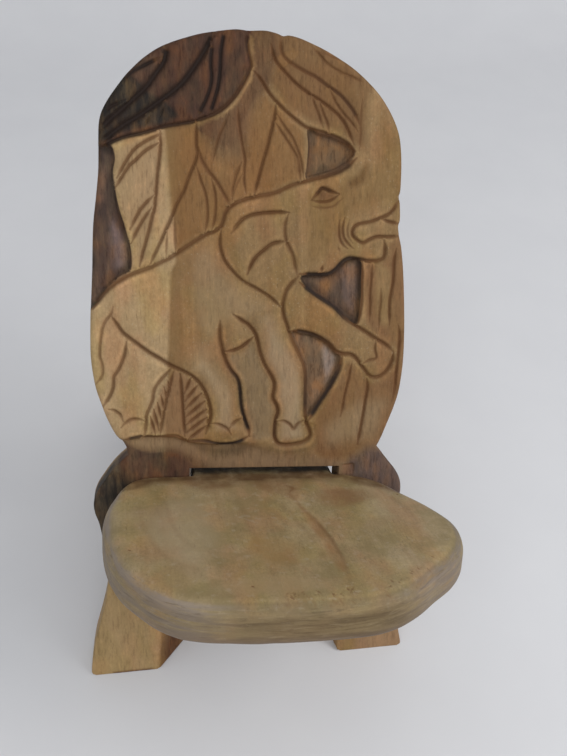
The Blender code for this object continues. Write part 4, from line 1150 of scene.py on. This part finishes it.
def board_place(tree, place):
    """Coordinates that lie along a board: across, depth and along, in metres."""
    spot = add(tree, "ShaderNodeTexCoord").outputs["Object"]
    turned = add(tree, "ShaderNodeMapping", {"Vector": spot, "Location": place.to_translation(),
                                             "Rotation": place.to_euler("XYZ")}, vector_type="TEXTURE")
    return turned.outputs[0]


def grained(tree, place, pale, full, late, rings, spacing, fibres=0.22):
    """Grained wood in three tones, with the strength and spacing of its rings."""
    return add(tree, "ShaderNodeGroup", {
        "Vector": place, "Pale": tone(*pale), "Full": tone(*full), "Late": tone(*late),
        "Ring Strength": rings, "Ring Spacing": spacing, "Fibre Strength": fibres,
    }, node_tree=board_grain).outputs


FIBRE_ROUGHNESS, BUMP_HEIGHT = 0.22, 0.0006


def end_finish(tree, shader, place, wood, colour, relief, stain, full_stain, roughness, bump, shine):
    """Ends a wooden finish: its cuts are stained, and its roughness and bumps follow the grain."""
    stained = add(tree, "ShaderNodeGroup", {
        "Color": colour, "Vector": place, "Stain": tone(*stain), "Full Stain": tone(*full_stain),
    }, node_tree=stained_cuts)
    height = plus(tree, wood["Height"], relief)
    raised = add(tree, "ShaderNodeBump", {"Height": height, "Strength": bump, "Distance": BUMP_HEIGHT})
    feed(tree, shader, {
        "Base Color": stained.outputs["Color"], "Normal": raised.outputs[0], "Specular IOR Level": shine,
        "Roughness": plus(tree, times(tree, wood["Fibre"], FIBRE_ROUGHNESS), roughness)})


# The back plank's finish: oiled wood with a sharp line between sapwood and heartwood, dye on the grounds
# and the shoulders, and every cut stained brown. Painted light goes with the dye: sheen on some pocket
# floors, highlights on two legs and beside the cuts, and shade under the ledge and in the left foot's arch.
SAP_LINE_LOW, SAP_LEAN_LOW = -0.0582, 0.0733
SAP_LINE_HIGH, SAP_LEAN_HIGH = -0.0534, -0.058
SAP_STEP, SAP_TURN, SAP_WANDER = (0.366, 0.378), 0.400, 0.004
back_low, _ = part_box("back_plank")
back_place = Matrix.Translation((back_low.x + FOOT_SPREAD / 2 * MM, back_low.y, 0.0))
back_place = back_place @ Matrix.Rotation(-BACK_LEAN, 4, "X")

back_wood, nodes, shader = new_finish("oiled_carved_wood")
along = board_place(nodes, back_place)
heart = grained(nodes, along, (142, 115, 79), (130, 103, 69), (100, 74, 47), 0.15, 120.0)
sap = grained(nodes, along, (170, 144, 109), (160, 134, 98), (136, 107, 73), 0.10, 120.0)
parts = split(nodes, along)
low_rise = times(nodes, minus(nodes, parts["Z"], SAP_STEP[0]), SAP_LEAN_LOW)
high_rise = times(nodes, calc(nodes, "MAXIMUM", minus(nodes, parts["Z"], SAP_TURN), 0.0), SAP_LEAN_HIGH)
sap_line = add(nodes, "ShaderNodeMix", {
    0: ramp(nodes, parts["Z"], *SAP_STEP), 2: plus(nodes, low_rise, SAP_LINE_LOW),
    3: plus(nodes, high_rise, SAP_LINE_HIGH)}).outputs[0]
wander = times(nodes, minus(nodes, noise(nodes, along, 14.0, 2.0), 0.5), SAP_WANDER)
edge = minus(nodes, plus(nodes, parts["X"], wander), sap_line)
band = times(nodes, ramp(nodes, edge, -0.002, 0.002), ramp(nodes, edge, 0.024, 0.004))
banded = blend(nodes, heart["Color"], tone(112, 82, 48), band, 0.4)
wood = blend(nodes, banded, sap["Color"], ramp(nodes, edge, 0.0024, -0.0024))
dye, dyed = kept_value(nodes, "dye", "Color"), kept_value(nodes, "dyed")
wash = noise(nodes, along, (120.0, 120.0, 22.0), 4.0, 0.65)
soaked = times(nodes, dyed, plus(nodes, times(nodes, wash, 0.7), 0.6))
coloured = blend(nodes, wood, dye, calc(nodes, "MINIMUM", soaked, 0.97))
brush = noise(nodes, along, (330.0, 330.0, 70.0), 4.0, 0.7)
pools = noise(nodes, along, (62.0, 62.0, 40.0), 3.0)
full_dye = ramp(nodes, dyed, 0.75, 0.95)
for tint, *shares in (
        ((0.35, 0.30, 0.30, 1.0), ramp(nodes, brush, 0.50, 0.66), dyed, 0.55),
        ((1.6, 1.5, 1.45, 1.0), ramp(nodes, brush, 0.46, 0.30), dyed, 0.6),
        ((1.28, 1.12, 0.92, 1.0), ramp(nodes, pools, 0.48, 0.64), full_dye),
        ((0.74, 0.80, 0.86, 1.0), ramp(nodes, pools, 0.50, 0.36), full_dye)):
    coloured = blend(nodes, coloured, tint, *shares, kind="MULTIPLY")
scrapes = noise(nodes, along, (420.0, 420.0, 150.0), 2.0)
rough = times(nodes, scrapes, ramp(nodes, dyed, 0.6, 0.95), 2.2)
end_finish(nodes, shader, along, heart, coloured, rough, stain=(96, 63, 38), full_stain=(40, 30, 26),
           roughness=0.50, bump=0.35, shine=0.12)

# The board is worked in this order: areas are sunk and dyed, cuts are chiselled, and the face is pressed in.
chisel_lines = chisel_tree()
sunk_areas = sunk_tree()
press_face = press_tree()
for areas, marks, rim in ((lower_board, 0.1, 1.0), (thin_dyes, 0.3, 1.0), (ground_dyes, 0.25, 0.3),
                          (dark_dyes, 0.0, 1.0), (pale_dyes, 0.0, 1.0)):
    work(carved_back, sunk_areas, Areas=areas, Chisel_Marks=marks, Dye_Rim=rim, Material=back_wood)
work(carved_back, chisel_lines, Lines=carving, Material=back_wood)
work(carved_back, press_face, Face_Depth=0.0005, Front_Waves=0.0005, Rear_Waves=0.0022, Material=back_wood)
settle(carved_back, back_place)
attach(carved_back, "back")
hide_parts("back_plank")


# Seat plank: one board with a rounded, slightly dished seat and a tongue behind it, which runs down through
# the slot to the floor. The places below are millimetres on its top, across from the middle of the tongue
# and back along the slope from the front of the back plank.
SEAT_RISE = math.radians(26.0)
SEAT_THICK = 32.0
TONGUE_THICK = 27.0
TONGUE_HALF = 63.5
TONGUE_TAPER = 6.0
TONGUE_ACROSS = 17.0
SEAT_BACK = -2.4
TAIL_END = 336.2
SEAT_UP = 184.53
SEAT_EDGE = [
    (-60, 2.4), (-80, 2.6), (-93.5, 7), (-104, 16.5), (-112.5, 30), (-118.8, 49), (-122, 76), (-121, 104),
    (-117.5, 130), (-112, 150), (-105.5, 166), (-96, 181.5), (-85, 196.5), (-72, 207.5), (-57, 214.5),
    (-37, 218.5), (-6, 220.5), (28, 220.5), (60, 218), (83, 210.5), (102, 197), (119.5, 180), (139, 161),
    (153, 139.5), (160, 117), (160.5, 98), (154, 77), (144.5, 57), (133.5, 38.5), (123, 25), (107, 12),
    (92, 4.5), (81, 2.4),
]
PAD_STEP, TONGUE_STEP, TAIL_POINTS = 2.0, 4.0, 40
PAD_TOP, PAD_UNDER, TONGUE_EDGE, WORN_EDGE = 12.0, 9.0, 2.5, 6.5
PAD_FADE, UNDER_STEP, WORN_STOP = (8.0, 42.0), (-5.0, -2.0), 8.0
SEAT_TURNS = list(range(0, 91, 10))
pad = lath([(u - TONGUE_ACROSS, -w) for u, w in SEAT_EDGE], PAD_STEP)
tongue_right = [(TONGUE_HALF - TONGUE_TAPER * max(0.0, s - REAR_FACE) / (TAIL_END - REAR_FACE), s)
                for s in np.arange(SEAT_BACK + 2.0, TAIL_END - 1.0, TONGUE_STEP)]
tail_half = TONGUE_HALF - TONGUE_TAPER
tail = [(x, TAIL_END) for x in np.linspace(tail_half, -tail_half, TAIL_POINTS)]
seat_ring = np.vstack([pad, tongue_right, tail, [(-x, s) for x, s in tongue_right[::-1]]])
front_share = ease(-seat_ring[:, 1], *PAD_FADE)
on_tongue = seat_ring[:, 1] > SEAT_BACK + 1.0
worn_side = on_tongue & (seat_ring[:, 0] > 0) & (seat_ring[:, 1] < TAIL_END - WORN_STOP)
top_round = np.where(worn_side, WORN_EDGE, TONGUE_EDGE)
top_round = np.where(on_tongue, top_round, TONGUE_EDGE + (PAD_TOP - TONGUE_EDGE) * front_share)
under_round = np.where(on_tongue, TONGUE_EDGE, TONGUE_EDGE + (PAD_UNDER - TONGUE_EDGE) * front_share)


def under_depth(x, s):
    """How thick the board is here: the tongue is thinner than the seat."""
    return SEAT_THICK - (SEAT_THICK - TONGUE_THICK) * float(ease(s, *UNDER_STEP))


seat_rear = np.array([under_depth(x, s) for x, s in seat_ring])
seat_edge = edge_rings(lambda depth: seat_ring, np.zeros(len(seat_ring)), seat_rear, top_round, under_round,
                       SEAT_TURNS)
top_ring = seat_edge[0][:, [0, 2]]
under_ring = seat_edge[-1][:, [0, 2]]

# Nicks that use left along the front edge of the seat, one in three of them towards its right end, streaks
# in the grain, a reddish one among them, and a few dark dots.
NICKS, NICK_SEED = 84, 11
front_across, front_away = np.array(SEAT_EDGE[16:23]).T
dents = []
chance = np.random.default_rng(NICK_SEED)
for n in range(NICKS):
    first, last = (70, 136) if n % 3 == 0 else (0, 54)
    across, off_edge, slant, size = chance.uniform((first, 2, -2.5, 0), (last, 17, 2.5, 1))
    x, s = across - TONGUE_ACROSS, off_edge - np.interp(across, front_across, front_away)
    chisel((1.2 + size, 0.15 + 0.4 * size, 0.2 + 0.5 * size * size),
           [(x, s), (x + slant, s + 1.5 + 2.5 * size)], 0.05, 0.05, among=dents)
REDDISH = (0.05, 0.12, 0.28, 0.45, 0.42, 0.2, 0.05)
FAINT = (0.03, 0.1, 0.12, 0.09, 0.03)
for line, wide, dark in [
    ([(10, -22), (19.3, -55.6), (28.3, -86), (34, -114), (36.6, -140), (36.6, -164), (33.5, -196)], 3.2,
     REDDISH),
    ([(-2, -30), (10, -75), (20, -115), (24, -150), (22, -190)], 4.5, FAINT),
    ([(-34.6, -37), (-27, -70), (-23.3, -103), (-23, -148)], 5.0, FAINT),
    ([(-113, -41), (-110, -70), (-107, -98), (-94, -144), (-68, -167), (-44, -159)], 4.0, FAINT),
    ([(-90, -46), (-86, -90), (-76, -126), (-56, -144)], 4.0, FAINT),
    ([(70, -14), (94, -40), (108, -80), (104, -130), (88, -172)], 4.5, FAINT),
    ([(14.4, -25), (20, -32), (16, -40)], 3.4, 0.45),
]:
    chisel((wide, 0.0, dark), line, 0.0, 0.0, among=dents)
for x, s in ((-35.4, -192.3), (-118.4, -134.9), (97.7, -31.0), (107.9, -49.2)):
    chisel((2.4, 0.4, 0.9), [(x, s), (x + 1.0, s - 1.5)], 0.0, 0.0, among=dents)
wear = cut_guide("seat_nicks", dents)
# The seat is dished by use and warmer in the middle and by the back plank. Where the tongue enters the
# slot it is painted near black, as painted shade inside the slot.
dish = area_guide("seat_dish", [
    area([(-95, -35), (-98, -90), (-88, -140), (-62, -176), (-10, -192), (50, -190), (92, -160),
          (112, -118), (100, -70), (78, -38), (30, -26), (-40, -24)], 62.0, depth=3.0),
])
patch_and_slot_shade_areas = area_guide("seat_patches", [
    area([(-116, -105), (-99, -52), (-74, -38), (-50, -54), (-40, -98), (-44, -140), (-69, -168),
          (-100, -150)], 22.0, (166, 149, 122), 0.5),
    area([(-34, -110), (-4, -110), (14, -130), (8, -164), (-18, -168), (-36, -150)], 16.0, (152, 118, 74),
         0.55),
    area([(-78, -4), (-22, -4), (-28, -31), (-53, -37), (-74, -27)], 13.0, (112, 80, 52), 0.75),
    area([(-14, -4), (38, -4), (33, -28), (28, -40), (22, -58), (9, -52), (-16, -30)], 10.0, (124, 92, 62),
         0.65),
    area([(35, -40), (55, -29), (88, -36), (94, -56), (63, -72), (38, -66)], 13.0, (124, 90, 62), 0.75),
    # Painted shade: the tongue painted near black where it runs into the slot.
    area([(-80, 2), (80, 2), (80, 27), (-80, 27)], 3.0, (40, 32, 26), 0.97, rounded=False),
])
streaks = area_guide("seat_streaks", [
    area([(18, -58), (29, -74), (35, -112), (38, -138), (38.5, -172), (29, -180), (26, -160), (24, -127),
          (19, -90)], 6.0, (140, 98, 62), 0.6),
    area([(50, -90), (96, -84), (112, -112), (90, -140), (56, -128)], 20.0, (134, 114, 76), 0.4),
    area([(-30, -176), (20, -182), (14, -204), (-40, -206), (-60, -190)], 10.0, (158, 132, 98), 0.5),
    # A dark strip along the seat's back edge and round its back corners: partly dirt, partly painted shadow
    # where the seat meets the back plank.
    area([(-126, 3), (-20, 3), (70, 3), (88, 3), (106, -14), (124, -40), (114, -52), (98, -44), (82, -34),
          (60, -26), (-20, -30), (-70, -27), (-94, -24), (-112, -32), (-126, -32)],
         [2, 2, 2, 2, 2, 2, 6, 10, 14, 26, 28, 26, 16, 8, 2], (88, 63, 40), 0.95, rounded=False),
])

# The seat's mesh: rows of points at the nicks, then an even spread, finer on the seat than on the tongue.
top_points = spread([(rows_beside(dents), 0.6), (grid((-150, -225), (150, 0), 3.4), 2.2),
                     (grid((-70, 0), (70, 340), 7.0), 4.0)], [top_ring])
under_points = spread([(grid((-150, -225), (150, 340), 6.5), 4.0)], [under_ring])
worn_seat = board("worn_seat", [seat_edge], top_points, under_points, lambda x, s: 0.0, under_depth)

seat_place = Matrix.Translation(back_place.to_translation())
seat_place = seat_place @ Matrix.Translation((
    TONGUE_ACROSS * MM, SEAT_UP * MM * math.sin(BACK_LEAN), SEAT_UP * MM * math.cos(BACK_LEAN)))
seat_place = seat_place @ Matrix.Rotation(-SEAT_RISE, 4, "X") @ Matrix.Rotation(SLOT_TILT, 4, "Y")
seat_place = seat_place @ Matrix.Rotation(math.radians(-90.0), 4, "X")

# The seat's finish: greenish tan heartwood in soft blotches, rubbed grey along the edges and dirty on the
# sides, where the grain shows as thin layers. Painted shade darkens the rim of the top, and the darkening
# of the sides is partly dirt and partly painted shade.
seat_wood, nodes, shader = new_finish("worn_seat_wood")
along = board_place(nodes, seat_place)
heart = grained(nodes, along, (160, 142, 108), (148, 128, 92), (125, 103, 68), 0.16, 45.0, 0.08)
blotched = heart["Color"]
for lumps, detail, start, end, share, paint in ((19.0, 3.0, 0.48, 0.66, 0.3, (148, 120, 92)),
                                                (27.0, 3.0, 0.46, 0.66, 0.6, (130, 114, 78)),
                                                (130.0, 4.0, 0.55, 0.72, 0.3, (176, 162, 140))):
    blotches = ramp(nodes, noise(nodes, along, lumps, detail, 0.6), start, end)
    blotched = blend(nodes, blotched, tone(*paint), blotches, share)
dye, dyed = kept_value(nodes, "dye", "Color"), kept_value(nodes, "dyed")
uneven = ramp(nodes, noise(nodes, along, 55.0, 4.0, 0.6), 0.28, 0.62)
patched = blend(nodes, blotched, dye, dyed, plus(nodes, times(nodes, uneven, 0.5), 0.45))
parts = split(nodes, along)
depth = minus(nodes, parts["Y"], kept_value(nodes, "sink"))
corner = calc(nodes, "MAXIMUM", ramp(nodes, parts["X"], -0.030, -0.085),
              ramp(nodes, parts["X"], 0.05, 0.10))
layer = noise(nodes, along, (22.0, 210.0, 22.0), 4.0, 0.65, 0.6)
thin_layer = noise(nodes, along, (60.0, 620.0, 60.0), 4.0, 0.65, 0.6)
rubbing = plus(nodes, times(nodes, corner, 0.75), 0.10)
rubbed = blend(nodes, patched, tone(140, 127, 116), rubbing, ramp(nodes, layer, 0.32, 0.58),
               ramp(nodes, depth, 0.0004, 0.0030))
# Painted shade: the rim where the top turns into the edge is darkened, except at the left end.
rim = times(nodes, ramp(nodes, depth, 0.0002, 0.0016), ramp(nodes, depth, 0.0080, 0.0040))
rim_shaded = blend(nodes, rubbed, (0.76, 0.76, 0.76, 1.0), rim, ramp(nodes, parts["X"], -0.080, -0.035),
                kind="MULTIPLY")
# The sides are darkened in streaky layers, less at the rubbed corners: partly dirt, partly painted shade on
# the rounded front edge.
grime_and_shade_tone = blend(nodes, tone(116, 98, 70), tone(80, 63, 42), ramp(nodes, layer, 0.30, 0.70))
grime_and_shade_amount = minus(nodes, 0.85, times(nodes, corner, 0.4))
grimed_and_shaded = blend(nodes, rim_shaded, grime_and_shade_tone, ramp(nodes, depth, 0.001, 0.011), grime_and_shade_amount)
side = ramp(nodes, depth, 0.0010, 0.0040)
threaded = blend(nodes, grimed_and_shaded, tone(164, 146, 116), ramp(nodes, thin_layer, 0.46, 0.34), side, 0.22)
cracked = blend(nodes, threaded, tone(72, 57, 42), ramp(nodes, thin_layer, 0.56, 0.68), side, 0.35)
coloured = blend(nodes, cracked, tone(112, 93, 80), ramp(nodes, depth, 0.019, 0.030), 0.5)
ridges = times(nodes, thin_layer, ramp(nodes, depth, 0.0010, 0.0060))
end_finish(nodes, shader, along, heart, coloured, ridges, stain=(108, 72, 44), full_stain=(54, 40, 30),
           roughness=0.42, bump=0.3, shine=0.18)

for areas in (dish, patch_and_slot_shade_areas, streaks):
    work(worn_seat, sunk_areas, Areas=areas, Material=seat_wood)
work(worn_seat, chisel_lines, Lines=wear, Slope_Width=0.003, Material=seat_wood)
work(worn_seat, press_face, Face_Depth=0.004, Edge_Depth=0.016, Front_Waves=0.0006, Rear_Waves=0.0012,
     Rear_Depth=0.032, Material=seat_wood)
settle(worn_seat, seat_place)


def saw_level(obj):
    """Saws the foot of a plank off level with the floor that it stands on."""
    form = bmesh.new()
    form.from_mesh(obj.data)
    everything = form.verts[:] + form.edges[:] + form.faces[:]
    bmesh.ops.bisect_plane(form, geom=everything, dist=1e-7, plane_co=(0, 0, 0), plane_no=(0, 0, 1),
                           clear_inner=True)
    bmesh.ops.holes_fill(form, edges=[e for e in form.edges if e.is_boundary], sides=0)
    bmesh.ops.recalc_face_normals(form, faces=form.faces)
    form.to_mesh(obj.data)
    form.free()


saw_level(worn_seat)
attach(worn_seat, "seat")
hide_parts("seat_plank")
